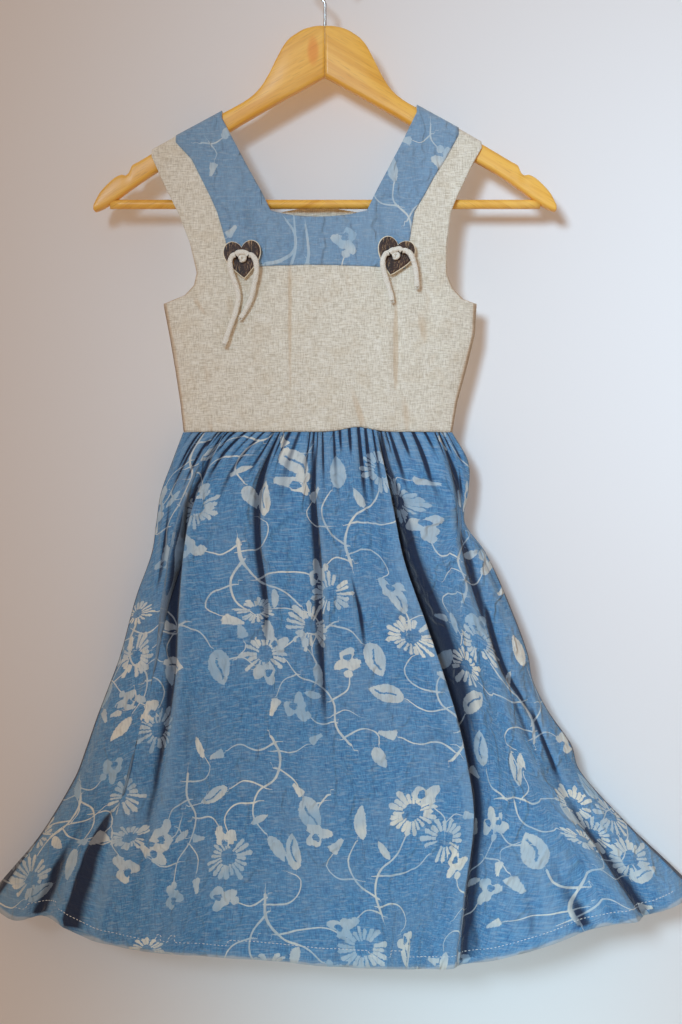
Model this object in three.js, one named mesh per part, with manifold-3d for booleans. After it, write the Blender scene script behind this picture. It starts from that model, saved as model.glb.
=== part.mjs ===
// A girl's sleeveless dirndl hanging on a wooden clothes hanger.
// The bodice is natural linen with a square neck and wide straps. A printed band is laid round the neck
// and over the shoulders, two heart buttons with knotted cords sit at its corners, and a printed skirt
// is gathered into the waist seam. Front and back are cut alike and joined at the sides and shoulders.
//
// Millimetres, +Z up. The front faces -Y and +X is on the right of someone who looks at the front.
// The origin is inside the bend of the hanger's hook, where a rail or peg carries it.
import * as THREE from "three";
import Module from "manifold-3d";
import { mergeVertices } from "three/addons/utils/BufferGeometryUtils.js";

const wasm = await Module();
wasm.setup();

// ---- Driving dimensions ----------------------------------------------------------------------------

const SEAM = 0.3; // gap that stands for a sewn seam, and for cloth lying on something
const CLOTH = 1.2; // wall of every cloth panel
const BAND = 1.0; // wall of the printed neck band

const HANGER_SPAN = 445;
const HANGER_THICK = 12;
const ARM_ROUNDING = 4.2; // radius worked along every edge of the arms
const WOOD_TOP = -72; // top of the wood, below the hook's seat
const BAR_Z = -243.5;
const BAR_RADIUS = 4.5;
const BAR_REACH = 207; // half the bar's length
const WIRE_RADIUS = 1.6;
const HOOK_RADIUS = 20; // inside the bend
const SHANK_DEPTH = 22; // how far the hook's shank is set into the wood

const DRESS_X = -6.8; // the dress hangs a little off the hanger's middle
const WAIST_Z = -463;
const WAIST_LIFT = { height: 4.5, across: 38, spread: 17, fade: 40 }; // the waist seam rises over the deep fold

// ---- Small tools -----------------------------------------------------------------------------------

const point = (x, y, z) => new THREE.Vector3(x, y, z);
const mix = (a, b, share) => a + (b - a) * share;
const bump = (s) => Math.exp(-s * s);

// A smooth curve through a list of values at the given stations.
function through(stations, values, at) {
  const last = stations.length - 1;
  let i = 0;
  while (i < last - 1 && at > stations[i + 1]) i += 1;
  const slope = (k) => {
    const a = Math.max(k - 1, 0);
    const b = Math.min(k + 1, last);
    return (values[b] - values[a]) / (stations[b] - stations[a]);
  };
  const span = stations[i + 1] - stations[i];
  const s = Math.min(Math.max((at - stations[i]) / span, 0), 1);
  return (
    values[i] * (2 * s ** 3 - 3 * s ** 2 + 1) +
    slope(i) * span * (s ** 3 - 2 * s ** 2 + s) +
    values[i + 1] * (3 * s ** 2 - 2 * s ** 3) +
    slope(i + 1) * span * (s ** 3 - s ** 2)
  );
}

// One column of a table as a function of another column.
function column(table, by, name) {
  const stations = table.map((row) => row[by]);
  const values = table.map((row) => row[name]);
  return (at) => through(stations, values, at);
}

// A list of values spread evenly over 0 to 1, as a function.
function evenly(values) {
  const stations = values.map((_, i) => i / (values.length - 1));
  return (at) => through(stations, values, at);
}

// A repeatable number from 0 to 1, different for each i.
const scatter = (i) => Math.abs(Math.sin(i * 12.9898 + 4.1) * 43758.5453) % 1;

// A row of a table with its values named by its columns.
const named = (columns, row) => Object.fromEntries(columns.map((name, k) => [name, row[k]]));

// A sheet of cloth being laid out: points, triangles, and the edges that end square to an axis.
class Sheet {
  constructor() {
    this.points = [];
    this.triangles = [];
    this.square = new Map();
  }

  // A row of points; each has its place across the row. square names the axis its edge is square to.
  row(count, place, square = null) {
    const row = [];
    for (let i = 0; i <= count; i += 1) {
      const across = i / count;
      row.push({ index: this.points.length, across });
      this.points.push(place(across));
      if (square) this.square.set(row[i].index, square);
    }
    return row;
  }

  squareEnds(row, axis) {
    this.square.set(row[0].index, axis);
    this.square.set(row[row.length - 1].index, axis);
  }

  // Fills the strip between two rows that may differ in count.
  stitch(upper, lower) {
    let i = 0;
    let j = 0;
    while (i < upper.length - 1 || j < lower.length - 1) {
      const stepUpper = i < upper.length - 1 ? upper[i + 1].across : Infinity;
      const stepLower = j < lower.length - 1 ? lower[j + 1].across : Infinity;
      if (stepLower <= stepUpper) {
        this.triangles.push([upper[i].index, lower[j].index, lower[j + 1].index]);
        j += 1;
      } else {
        this.triangles.push([upper[i].index, lower[j].index, upper[i + 1].index]);
        i += 1;
      }
    }
  }

  normals() {
    const normals = this.points.map(() => point(0, 0, 0));
    for (const [a, b, c] of this.triangles) {
      const ab = this.points[b].clone().sub(this.points[a]);
      const ac = this.points[c].clone().sub(this.points[a]);
      const face = ab.cross(ac);
      for (const i of [a, b, c]) normals[i].add(face);
    }
    for (const [i, axis] of this.square) {
      for (const name of axis) normals[i][name] = 0;
    }
    return normals.map((n) => n.normalize());
  }

  flipped() {
    this.triangles = this.triangles.map(([a, b, c]) => [a, c, b]);
    return this;
  }

  // The closed wall whose outer face is the sheet moved out by lift.
  wall(thickness, lift = 0) {
    const normals = this.normals();
    const outer = this.points.map((p, i) => p.clone().addScaledVector(normals[i], lift));
    const inner = this.points.map((p, i) => p.clone().addScaledVector(normals[i], lift - thickness));
    const count = this.points.length;
    const faces = [...this.triangles];
    const edges = new Map();
    for (const [a, b, c] of this.triangles) {
      faces.push([a + count, c + count, b + count]);
      for (const [from, to] of [[a, b], [b, c], [c, a]]) {
        if (!edges.delete(`${to},${from}`)) edges.set(`${from},${to}`, [from, to]);
      }
    }
    for (const [from, to] of edges.values()) {
      faces.push([to, from, from + count], [to, from + count, to + count]);
    }
    const geometry = new THREE.BufferGeometry().setFromPoints([...outer, ...inner]);
    geometry.setIndex(faces.flat());
    return geometry;
  }
}

const asGeometry = (solid) => {
  const mesh = solid.getMesh();
  const geometry = new THREE.BufferGeometry();
  geometry.setAttribute("position", new THREE.BufferAttribute(mesh.vertProperties, 3));
  geometry.setIndex(new THREE.BufferAttribute(mesh.triVerts, 1));
  return geometry;
};

const asSolid = (geometry) => {
  const bare = new THREE.BufferGeometry();
  bare.setAttribute("position", geometry.getAttribute("position"));
  if (geometry.index) bare.setIndex(geometry.index);
  const merged = mergeVertices(bare, 1e-4);
  return new wasm.Manifold(
    new wasm.Mesh({
      numProp: 3,
      vertProperties: merged.getAttribute("position").array,
      triVerts: new Uint32Array(merged.index.array),
    }),
  );
};

// A round rod or cord along a curve.
function tube(curve, radius, sides, steps) {
  const section = new THREE.Shape();
  for (let i = 0; i < sides; i += 1) {
    const angle = (i / sides) * 2 * Math.PI;
    const go = i ? "lineTo" : "moveTo";
    section[go](radius * Math.cos(angle), radius * Math.sin(angle));
  }
  return new THREE.ExtrudeGeometry(section, { steps, curveSegments: 1, extrudePath: curve });
}

function rod(from, to, radius, sides) {
  const length = from.distanceTo(to);
  const geometry = new THREE.CylinderGeometry(radius, radius, length, sides);
  const along = to.clone().sub(from).normalize();
  geometry.applyQuaternion(new THREE.Quaternion().setFromUnitVectors(point(0, 1, 0), along));
  const middle = from.clone().add(to).multiplyScalar(0.5);
  return geometry.translate(middle.x, middle.y, middle.z);
}

// ---- Materials -------------------------------------------------------------------------------------

const WOOD = { color: 0xd9a75c, roughness: 0.45, metalness: 0 };
const STEEL = { color: 0xb9bbbd, roughness: 0.28, metalness: 1 };
const LINEN = { color: 0xd2c8b4, roughness: 0.92, metalness: 0 };
const PRINT = { color: 0x6f93b5, roughness: 0.9, metalness: 0 };
const SHELL = { color: 0x3a2318, roughness: 0.5, metalness: 0 };
const CORD = { color: 0xddd5c4, roughness: 0.9, metalness: 0 };

const dirndl = new THREE.Group();

function add(name, geometry, finish, parent = dirndl) {
  const mesh = new THREE.Mesh(geometry, new THREE.MeshStandardMaterial(finish));
  mesh.name = name;
  parent.add(mesh);
  return mesh;
}

// ---- Hanger: two arms glued at the middle, a bar let into their ends, and a wire hook --------------

// One arm, from the middle joint to the tip: x, and the heights of its top and its underside. The dip
// before the tip is the notch that keeps a strap from slipping off.
const ARM = [
  { x: SEAM / 2, top: -72, under: -121.5 },
  { x: 7, top: -72, under: -125 },
  { x: 14, top: -73.2, under: -129 },
  { x: 21, top: -75.4, under: -133 },
  { x: 28, top: -79.5, under: -136.8 },
  { x: 34, top: -83.8, under: -140 },
  { x: 40, top: -91, under: -143.4 },
  { x: 47, top: -104, under: -147.4 },
  { x: 54, top: -118, under: -151.5 },
  { x: 61, top: -129.5, under: -155.5 },
  { x: 68, top: -137.5, under: -159.6 },
  { x: 78, top: -145, under: -165.4 },
  { x: 92, top: -152.8, under: -174 },
  { x: 110, top: -162.5, under: -184 },
  { x: 135, top: -176.6, under: -197.6 },
  { x: 160, top: -191.2, under: -211.6 },
  { x: 179, top: -202.6, under: -224 },
  { x: 186, top: -206.8, under: -229 },
  { x: 188.5, top: -213, under: -230.8 },
  { x: 192, top: -215.8, under: -233.4 },
  { x: 196, top: -215.2, under: -236.4 },
  { x: 203, top: -218.6, under: -241.4 },
  { x: 211, top: -226, under: -246.6 },
  { x: 217, top: -233, under: -249.6 },
  { x: 221, top: -240.5, under: -250.8 },
  { x: HANGER_SPAN / 2, top: -244.6, under: -249.6 },
];

// A rounded rectangle across the arm, in order round its edge.
function armSection(row) {
  const middle = (row.top + row.under) / 2;
  const half = (row.top - row.under) / 2;
  const rounding = Math.min(ARM_ROUNDING, 0.8 * half);
  const section = [];
  for (let corner = 0; corner < 4; corner += 1) {
    const toY = corner === 0 || corner === 3 ? 1 : -1;
    const toZ = corner < 2 ? 1 : -1;
    for (const share of [0, 0.5, 1]) {
      const angle = (corner + share) * (Math.PI / 2);
      const y = toY * (HANGER_THICK / 2 - rounding) + rounding * Math.cos(angle);
      const z = toZ * (half - rounding) + rounding * Math.sin(angle);
      section.push(point(row.x, y, middle + z));
    }
  }
  return section;
}

function armSolid() {
  const sections = ARM.map(armSection);
  const round = sections[0].length;
  const faces = [];
  const at = (s, i) => s * round + (i % round);
  for (let s = 1; s < sections.length; s += 1) {
    for (let i = 0; i < round; i += 1) {
      faces.push(at(s - 1, i), at(s - 1, i + 1), at(s, i));
      faces.push(at(s - 1, i + 1), at(s, i + 1), at(s, i));
    }
  }
  const last = sections.length - 1;
  for (let i = 1; i < round - 1; i += 1) {
    faces.push(at(0, 0), at(0, i + 1), at(0, i));
    faces.push(at(last, 0), at(last, i), at(last, i + 1));
  }
  return new THREE.BufferGeometry().setFromPoints(sections.flat()).setIndex(faces);
}

function hangerArm(side) {
  const socket = rod(point(-BAR_REACH - SEAM, 0, BAR_Z), point(BAR_REACH + SEAM, 0, BAR_Z), BAR_RADIUS + SEAM, 20);
  const bore = rod(point(0, 0, WOOD_TOP - SHANK_DEPTH - SEAM), point(0, 0, WOOD_TOP + 5), WIRE_RADIUS + SEAM, 12);
  let arm = asSolid(armSolid());
  if (side < 0) arm = arm.mirror([1, 0, 0]);
  return asGeometry(arm.subtract(asSolid(socket)).subtract(asSolid(bore)));
}

function hookCurve() {
  const ring = HOOK_RADIUS + WIRE_RADIUS;
  const points = [
    point(0, 0, WOOD_TOP - SHANK_DEPTH),
    point(0, 0, WOOD_TOP),
    point(0, 0, WOOD_TOP + 14),
    point(-0.7, 0, -HOOK_RADIUS - 1.32 * ring),
    point(-0.57 * ring, 0, -HOOK_RADIUS - 0.82 * ring),
  ];
  for (let degrees = 200; degrees >= -30; degrees -= 23) {
    const angle = THREE.MathUtils.degToRad(degrees);
    points.push(point(ring * Math.cos(angle), 0, ring * Math.sin(angle) - HOOK_RADIUS));
  }
  return new THREE.CatmullRomCurve3(points, false, "centripetal");
}

add("hanger_arm_left", hangerArm(-1), WOOD);
add("hanger_arm_right", hangerArm(1), WOOD);
add("hanger_bar", rod(point(-BAR_REACH, 0, BAR_Z), point(BAR_REACH, 0, BAR_Z), BAR_RADIUS, 20), WOOD);
add("hanger_hook", tube(hookCurve(), WIRE_RADIUS, 8, 27), STEEL);

// ---- Bodice: how the front and back panels are cut and how full they hang --------------------------

const dress = new THREE.Group();
dress.position.x = DRESS_X;
dirndl.add(dress);

// From the waist up to the neck edge. side: the outer edge, which is the side seam up to the underarm
// and the armhole edge above it. band: the line on which the neck band's outer edge runs. neck: the
// line below the corner of the neck. z: height at the outer edge; zMiddle: height at the centre front.
// fullness: how far the front and back stand from the middle plane. open: 0 where the sides are sewn
// together, 1 where the armhole is open.
const BODY_COLUMNS = [
  "zMiddle", "leftZ", "left", "leftBand", "leftNeck", "rightNeck",
  "rightBand", "right", "rightZ", "front", "back", "open",
];
const BODY = [
  [-463, -463, -129.5, -74, -40, 40, 74, 129.5, -463, 10.5, 9, 0],
  [-432, -436, -132.5, -75, -41, 41, 75, 134.5, -434, 14, 10, 0],
  [-398, -403, -137.5, -76, -42, 42, 76, 143, -403, 17, 11, 0],
  [-366, -369, -143.3, -77, -43, 44, 77, 151.5, -369, 18, 11, 0],
  [-341, -339.5, -149, -78, -44, 45, 78, 153, -339.5, 18, 11, 0],
  [-330, -331.5, -128, -79, -44.5, 45.5, 79.5, 140, -335.5, 18, 10.5, 0.22],
  [-319, -322.5, -119, -80, -45, 46, 81.5, 130, -326, 17.7, 10.3, 0.4],
  [-304.5, -311, -116, -82, -45, 46.5, 83.5, 124, -313, 17.2, 10, 0.58],
  [-278, -284, -122, -88, -45, 46.8, 87.5, 123.5, -284, 15.5, 9.3, 0.8],
  [-251.5, -256, -132.5, -96, -45, 47, 92.5, 127, -254, 13, 9.3, 0.95],
].map((row) => named(BODY_COLUMNS, row));
const YOKE_ROW = 7; // the row of BODY on which the band's lower edge runs
const BODY_ROWS = BODY.length - 1;

// From the neck edge up to the hanger. Each row gives the strap's outer edge, the band's outer edge and
// the neck edge, as places across and heights.
const STRAPS = {
  left: [
    { outer: -140, outerZ: -241, band: -103, bandZ: -238, neck: -54.5, neckZ: -232, front: 11.5, back: 9 },
    { outer: -147.5, outerZ: -226, band: -112, bandZ: -220, neck: -67, neckZ: -210, front: 10.2, back: 8.7 },
    { outer: -154, outerZ: -211, band: -121, bandZ: -202, neck: -79, neckZ: -187, front: 8.8, back: 8.4 },
    { outer: -159.5, band: -136, neck: -92, front: 8.2, back: 8.2, outerLift: 4.4, neckLift: 2.6 },
  ],
  right: [
    { outer: 132.5, outerZ: -239.5, band: 102, bandZ: -237, neck: 56.5, neckZ: -232, front: 11.5, back: 9 },
    { outer: 139.5, outerZ: -225, band: 111.5, bandZ: -219, neck: 68, neckZ: -210, front: 10.2, back: 8.7 },
    { outer: 148, outerZ: -207, band: 123.5, bandZ: -200, neck: 80, neckZ: -187, front: 8.8, back: 8.4 },
    { outer: 157, band: 135, neck: 95, front: 8.2, back: 8.2, outerLift: 2.6, neckLift: 2.6 },
  ],
};
// Over the hanger's arm the cloth turns through a quarter circle to the shoulder seam. The lifts are how
// far its top lies above the arm.
const SHOULDER_RADIUS = 8.2;
const SHOULDER_STEPS = 3;

const ACROSS = { strap: 4, band: 4, neck: 6 }; // columns of the outer strap, the band and each half neck

// Creases pressed into the bodice. side 1 is the front. x, z: middle; lean: change of x for each mm
// up; long and wide: size; depth: how deep.
const BODICE_CREASES = [
  { name: "left pressed crease", side: 1, x: -26.5, z: -372, lean: 0, long: 78, wide: 3.2, depth: 1.3 },
  { name: "right tuck below the heart", side: 1, x: 74.5, z: -378, lean: 0.01, long: 46, wide: 3.5, depth: 2 },
  { name: "crease into the lifted waist", side: 1, x: 38, z: -440, lean: -0.32, long: 34, wide: 7, depth: 2.6 },
  { name: "middle ripple", side: 1, x: 28, z: -330, lean: 0.02, long: 50, wide: 9, depth: 1.2 },
  { name: "underarm drag right", side: 1, x: 128, z: -372, lean: 0.8, long: 26, wide: 6, depth: 1.6 },
  { name: "underarm drag left", side: 1, x: -112, z: -345, lean: -0.7, long: 20, wide: 5, depth: 1.2 },
  { name: "back middle crease", side: -1, x: 14, z: -380, lean: 0.02, long: 70, wide: 4, depth: 1.4 },
  { name: "back left drag", side: -1, x: -70, z: -400, lean: 0.25, long: 45, wide: 7, depth: 1.6 },
  { name: "back right drag", side: -1, x: 84, z: -395, lean: -0.2, long: 48, wide: 7, depth: 1.5 },
];

function creased(side, x, z) {
  let depth = 0;
  for (const c of BODICE_CREASES) {
    if (c.side !== side) continue;
    const off = (x - c.x - c.lean * (z - c.z)) / c.wide;
    depth += c.depth * bump(off) * bump((z - c.z) / c.long);
  }
  return depth;
}

const waistLift = (x) => WAIST_LIFT.height * bump((x - WAIST_LIFT.across) / WAIST_LIFT.spread);

// The neck edge's middle sags at the front and stands up at the back. reach: how far down that fades.
const NECK_DIP = { front: -6.4, back: 6, reach: 27 };

function neckDip(side, row, x) {
  const toCorner = x / (x < 0 ? row.leftNeck : row.rightNeck);
  const nearNeck = 1 - (BODY[BODY_ROWS].zMiddle - row.zMiddle) / NECK_DIP.reach;
  const dip = side > 0 ? NECK_DIP.front : NECK_DIP.back;
  return dip * Math.max(0, 1 - toCorner ** 2) * Math.max(0, nearNeck);
}

// The rounded outline of a section that is sewn together at both sides.
const fullness = (c) => (1 - Math.min(Math.abs(c), 1) ** 4) ** 0.7;

// A point of a body row. across runs 0 to 1 over the whole panel by columns, so the band and neck
// lines keep their columns.
function bodyPoint(side, row, across) {
  const columns = [
    [0, row.left],
    [ACROSS.strap, row.leftBand],
    [ACROSS.strap + ACROSS.band, row.leftNeck],
    [ACROSS.strap + ACROSS.band + 2 * ACROSS.neck, row.rightNeck],
    [ACROSS.strap + 2 * ACROSS.band + 2 * ACROSS.neck, row.rightBand],
    [2 * (ACROSS.strap + ACROSS.band + ACROSS.neck), row.right],
  ];
  const total = columns[5][0];
  const at = across * total;
  const k = Math.max(1, columns.findIndex(([edge]) => at <= edge + 1e-9));
  const share = (at - columns[k - 1][0]) / (columns[k][0] - columns[k - 1][0]);
  const x = mix(columns[k - 1][1], columns[k][1], share);
  const half = x < 0 ? -row.left : row.right;
  const c = x / half;
  const edgeZ = x < 0 ? row.leftZ : row.rightZ;
  const toWaist = Math.max(0, 1 - (row.zMiddle - WAIST_Z) / WAIST_LIFT.fade);
  const z = mix(row.zMiddle, edgeZ, c * c) + waistLift(x) * toWaist + neckDip(side, row, x);
  const stands = side > 0 ? row.front : row.back;
  const rounded = mix(fullness(c), 1, row.open);
  const depth = Math.max(SEAM / 2, stands * rounded - creased(side, x, z) * rounded);
  return point(x, -side * depth, z);
}

// The strap's top row bends over the arm, so its heights follow the arm's.
const armTop = column(ARM, "x", "top");
for (const straps of Object.values(STRAPS)) {
  const row = straps[straps.length - 1];
  const over = (x) => armTop(Math.abs(x + DRESS_X)) - SHOULDER_RADIUS;
  row.outerZ = over(row.outer) + row.outerLift;
  row.bandZ = over(row.band) + (row.outerLift + row.neckLift) / 2;
  row.neckZ = over(row.neck) + row.neckLift;
}

// The strap's share from its outer edge (0) to the neck edge (1), at one row of its table.
function strapPoint(row, share) {
  const bandShare = ACROSS.strap / (ACROSS.strap + ACROSS.band);
  if (share <= bandShare) {
    const s = share / bandShare;
    return [mix(row.outer, row.band, s), mix(row.outerZ, row.bandZ, s)];
  }
  const s = (share - bandShare) / (1 - bandShare);
  return [mix(row.band, row.neck, s), mix(row.bandZ, row.neckZ, s)];
}

// One panel of the bodice, with both straps up to the shoulder seams. part "linen" is the whole panel;
// part "band" is the printed neck band, which uses the same points.
function bodiceSheet(side, part) {
  const sheet = new Sheet();
  const total = 2 * (ACROSS.strap + ACROSS.band + ACROSS.neck);
  const banded = part === "band";
  const first = banded ? ACROSS.strap : 0;
  const strapColumns = banded ? ACROSS.band : ACROSS.strap + ACROSS.band;

  // Rows of the body, from the neck edge down.
  const rows = [];
  const lowest = banded ? YOKE_ROW : 0;
  for (let r = BODY_ROWS; r >= lowest; r -= 1) {
    const row = BODY[r];
    const place = (share) => bodyPoint(side, row, mix(first, total - first, share) / total);
    const laid = sheet.row(total - 2 * first, place, r === 0 ? "z" : null);
    if (!banded && row.open === 0) sheet.squareEnds(laid, r === 0 ? "yz" : "y");
    rows.push(laid);
  }
  for (let r = 1; r < rows.length; r += 1) sheet.stitch(rows[r - 1], rows[r]);

  // Each strap climbs from its columns of the neck row.
  for (const name of ["left", "right"]) {
    const start = name === "left" ? 0 : rows[0].length - 1 - strapColumns;
    let below = rows[0].slice(start, start + strapColumns + 1);
    below = below.map(({ index }, i) => ({ index, across: i / strapColumns }));
    const layStrap = (place, square) => {
      const laid = sheet.row(strapColumns, place, square);
      sheet.stitch(laid, below);
      below = laid;
    };
    const shareOf = (across) => {
      const fromOuter = name === "left" ? across : 1 - across;
      return banded ? mix(ACROSS.strap / (ACROSS.strap + ACROSS.band), 1, fromOuter) : fromOuter;
    };
    for (const row of STRAPS[name]) {
      layStrap((across) => {
        const [x, z] = strapPoint(row, shareOf(across));
        return point(x, -side * (side > 0 ? row.front : row.back), z);
      });
    }
    const top = STRAPS[name][STRAPS[name].length - 1];
    for (let step = 1; step <= SHOULDER_STEPS; step += 1) {
      const angle = (step / SHOULDER_STEPS) * (Math.PI / 2);
      const out = Math.max(SEAM / 2, SHOULDER_RADIUS * Math.cos(angle));
      const up = SHOULDER_RADIUS * Math.sin(angle);
      layStrap((across) => {
        const [x, z] = strapPoint(top, shareOf(across));
        return point(x, -side * out, z + up);
      }, step === SHOULDER_STEPS ? "y" : null);
    }
  }
  return side > 0 ? sheet : sheet.flipped();
}

for (const [side, name] of [[1, "front"], [-1, "back"]]) {
  add(`bodice_${name}`, bodiceSheet(side, "linen").wall(CLOTH), LINEN, dress);
  add(`neck_band_${name}`, bodiceSheet(side, "band").wall(BAND, SEAM + BAND), PRINT, dress);
}

// ---- Skirt: gathered into the waist, flaring to the hem --------------------------------------------

// drop: share of the way from the waist to the hem. left, right: the side seams.
const SKIRT = [
  { drop: 0, left: -130, right: 129.5, front: 10.5, back: 9 },
  { drop: 0.065, left: -141, right: 145, front: 19, back: 13 },
  { drop: 0.13, left: -151.5, right: 145, front: 24, back: 15 },
  { drop: 0.195, left: -156, right: 141.5, front: 28, back: 17 },
  { drop: 0.26, left: -160.5, right: 161, front: 32, back: 18.5 },
  { drop: 0.35, left: -175, right: 180, front: 37, back: 20 },
  { drop: 0.48, left: -191, right: 202, front: 43, back: 22 },
  { drop: 0.54, left: -201, right: 207, front: 46, back: 23 },
  { drop: 0.61, left: -213, right: 222.5, front: 49, back: 24 },
  { drop: 0.68, left: -224, right: 244, front: 51.5, back: 25 },
  { drop: 0.74, left: -234.5, right: 253, front: 54, back: 26 },
  { drop: 0.86, left: -267, right: 301, front: 58, back: 28 },
  { drop: 0.93, left: -293, right: 334, front: 60, back: 29 },
  { drop: 1, left: -321, right: 366, front: 61, back: 30 },
];
// The hem hangs lowest in front of the middle and rises towards the side seams.
const HEM = [
  { across: 0, z: -913 },
  { across: 0.05, z: -925 },
  { across: 0.1, z: -922 },
  { across: 0.13, z: -931 },
  { across: 0.17, z: -940 },
  { across: 0.25, z: -948.5 },
  { across: 0.4, z: -955 },
  { across: 0.5, z: -961 },
  { across: 0.65, z: -961.5 },
  { across: 0.75, z: -948 },
  { across: 0.85, z: -928 },
  { across: 0.93, z: -920 },
  { across: 1, z: -905 },
];

// Each fold runs from one drop to another. x: places across along its run; depth and wide: the same
// for how deep and how wide its trough is; roll: how high the cloth rolls up on its left, and lean:
// how far that roll hangs over the trough. The columns of the cloth keep to a fold that has a column.
const FOLDS = [
  {
    name: "deep fold", side: 1, column: 0.726, from: 0, to: 1,
    x: [58, 69, 80, 101, 122, 139, 149, 142, 135],
    depth: [3, 11, 17, 19, 18, 16, 14, 11, 8],
    wide: [4, 6, 8, 9.5, 10.5, 11, 12, 14, 17],
    roll: 0.3, lean: 4,
  },
  {
    name: "left fold", side: 1, column: 0.146, from: 0, to: 1,
    x: [-92, -122, -133, -137, -150, -166, -180],
    depth: [2, 10, 11, 9, 6, 2, 0],
    wide: [4, 6, 8, 10, 13, 15, 16],
    roll: 0.25, lean: -2,
  },
  {
    name: "middle trough", side: 1, column: 0.493, from: 0, to: 0.62,
    x: [-2, -3, 2, 3, 6, 9],
    depth: [1.5, 5.5, 6, 5, 3.5, 0],
    wide: [4, 6, 7, 8, 10, 12],
    roll: 0.25, lean: 0,
  },
  {
    name: "middle left trough", side: 1, column: 0.355, from: 0, to: 0.45,
    x: [-38, -54, -55, -48, -50],
    depth: [1.5, 5, 5, 4, 0],
    wide: [4, 6, 7, 8, 10],
    roll: 0.2, lean: 0,
  },
  {
    name: "right side fold", side: 1, column: 0.93, from: 0, to: 1,
    x: [118, 134, 140, 156, 178, 198, 230, 270, 310],
    depth: [1.5, 6, 5.5, 4.5, 4.5, 3.5, 3, 8, 12],
    wide: [4, 6.5, 8, 9, 10, 11, 12, 13, 15],
    roll: 0.25, lean: 0,
  },
  {
    name: "lower left hollow", side: 1, from: 0.5, to: 1,
    x: [-120, -118, -112, -110],
    depth: [0, 6, 6, 2],
    wide: [14, 20, 26, 30],
    roll: 0, lean: 0,
  },
  {
    name: "left flute", side: 1, column: 0.055, from: 0.74, to: 1,
    x: [-204, -240, -264],
    depth: [0, 7, 13],
    wide: [12, 13, 14],
    roll: 0.35, lean: 0,
  },
  {
    name: "right inner flute", side: 1, from: 0.84, to: 1,
    x: [214, 232, 252],
    depth: [0, 4, 6],
    wide: [11, 12, 14],
    roll: 0.2, lean: 0,
  },
  {
    name: "back left fold", side: -1, column: 0.3, from: 0, to: 1,
    x: [-52, -66, -78, -92, -108, -120],
    depth: [2, 9, 11, 11, 9, 7],
    wide: [4, 8, 10, 12, 15, 18],
    roll: 0.25, lean: 2,
  },
  {
    name: "back middle fold", side: -1, column: 0.524, from: 0, to: 0.8,
    x: [6, 4, 8, 12, 10],
    depth: [2, 7, 8, 6, 0],
    wide: [4, 8, 10, 12, 15],
    roll: 0.25, lean: 0,
  },
  {
    name: "back right fold", side: -1, column: 0.77, from: 0, to: 1,
    x: [70, 84, 100, 128, 150, 166],
    depth: [2, 9, 11, 11, 10, 8],
    wide: [4, 8, 10, 12, 15, 18],
    roll: 0.25, lean: -2,
  },
  {
    name: "back outer left fold", side: -1, from: 0.3, to: 1,
    x: [-140, -160, -190, -226],
    depth: [0, 5, 7, 8],
    wide: [9, 11, 14, 16],
    roll: 0.2, lean: 0,
  },
  {
    name: "back outer right fold", side: -1, from: 0.3, to: 1,
    x: [140, 168, 210, 262],
    depth: [0, 5, 7, 8],
    wide: [9, 11, 14, 16],
    roll: 0.2, lean: 0,
  },
];
const FOLD_COLUMNS = 0.05; // share of the columns kept on each side of such a fold
const FOLD_ROOM = 0.8; // the most of the way to a side seam that they take up
const FOLD_REACH = 2; // how far those columns reach, in widths of the trough
const DRAWN_FROM = 0.3; // the drop over which columns draw together above a fold's start

// The gathers: troughs pressed in by the waist seam, which widen and die away below it. wide is the
// share of a gather's pitch that its trough has at the seam.
// shallowest, deepest: the spread between gathers. They grow deeper by growth over their first grown mm.
const GATHERS = {
  front: 40, back: 34, depth: 1.1, wide: 0.3, shortest: 26, longest: 90, widening: 30,
  shallowest: 0.7, deepest: 1.45, growth: 2.3, grown: 24,
};

function gatherLines(count, first) {
  return Array.from({ length: count }, (_, i) => ({
    at: (i + 0.5 + 0.45 * (scatter(first + i) - 0.5)) / count,
    long: mix(GATHERS.shortest, GATHERS.longest, scatter(first + i + 0.37) ** 1.5),
    deep: mix(GATHERS.shallowest, GATHERS.deepest, scatter(first + i + 0.71)),
  }));
}

const FRONT_GATHERS = gatherLines(GATHERS.front, 3);
const BACK_GATHERS = gatherLines(GATHERS.back, 61);

const skirtLeft = column(SKIRT, "drop", "left");
const skirtRight = column(SKIRT, "drop", "right");
const skirtFront = column(SKIRT, "drop", "front");
const skirtBack = column(SKIRT, "drop", "back");
const hemZ = column(HEM, "across", "z");

for (const fold of FOLDS) {
  fold.xAt = evenly(fold.x);
  fold.depthAt = evenly(fold.depth);
  fold.wideAt = evenly(fold.wide);
}

// How far the gathers press a column of the cloth in, a given distance below the waist.
function gathered(lines, at, below) {
  const widening = 1 + below / GATHERS.widening;
  const growing = mix(1, GATHERS.growth, Math.min(1, below / GATHERS.grown));
  let depth = 0;
  for (const g of lines) {
    const off = ((at - g.at) * lines.length) / (GATHERS.wide * widening);
    if (Math.abs(off) < 3) depth += g.deep * bump(off) * bump(below / g.long);
  }
  return GATHERS.depth * growing * depth;
}

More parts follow.
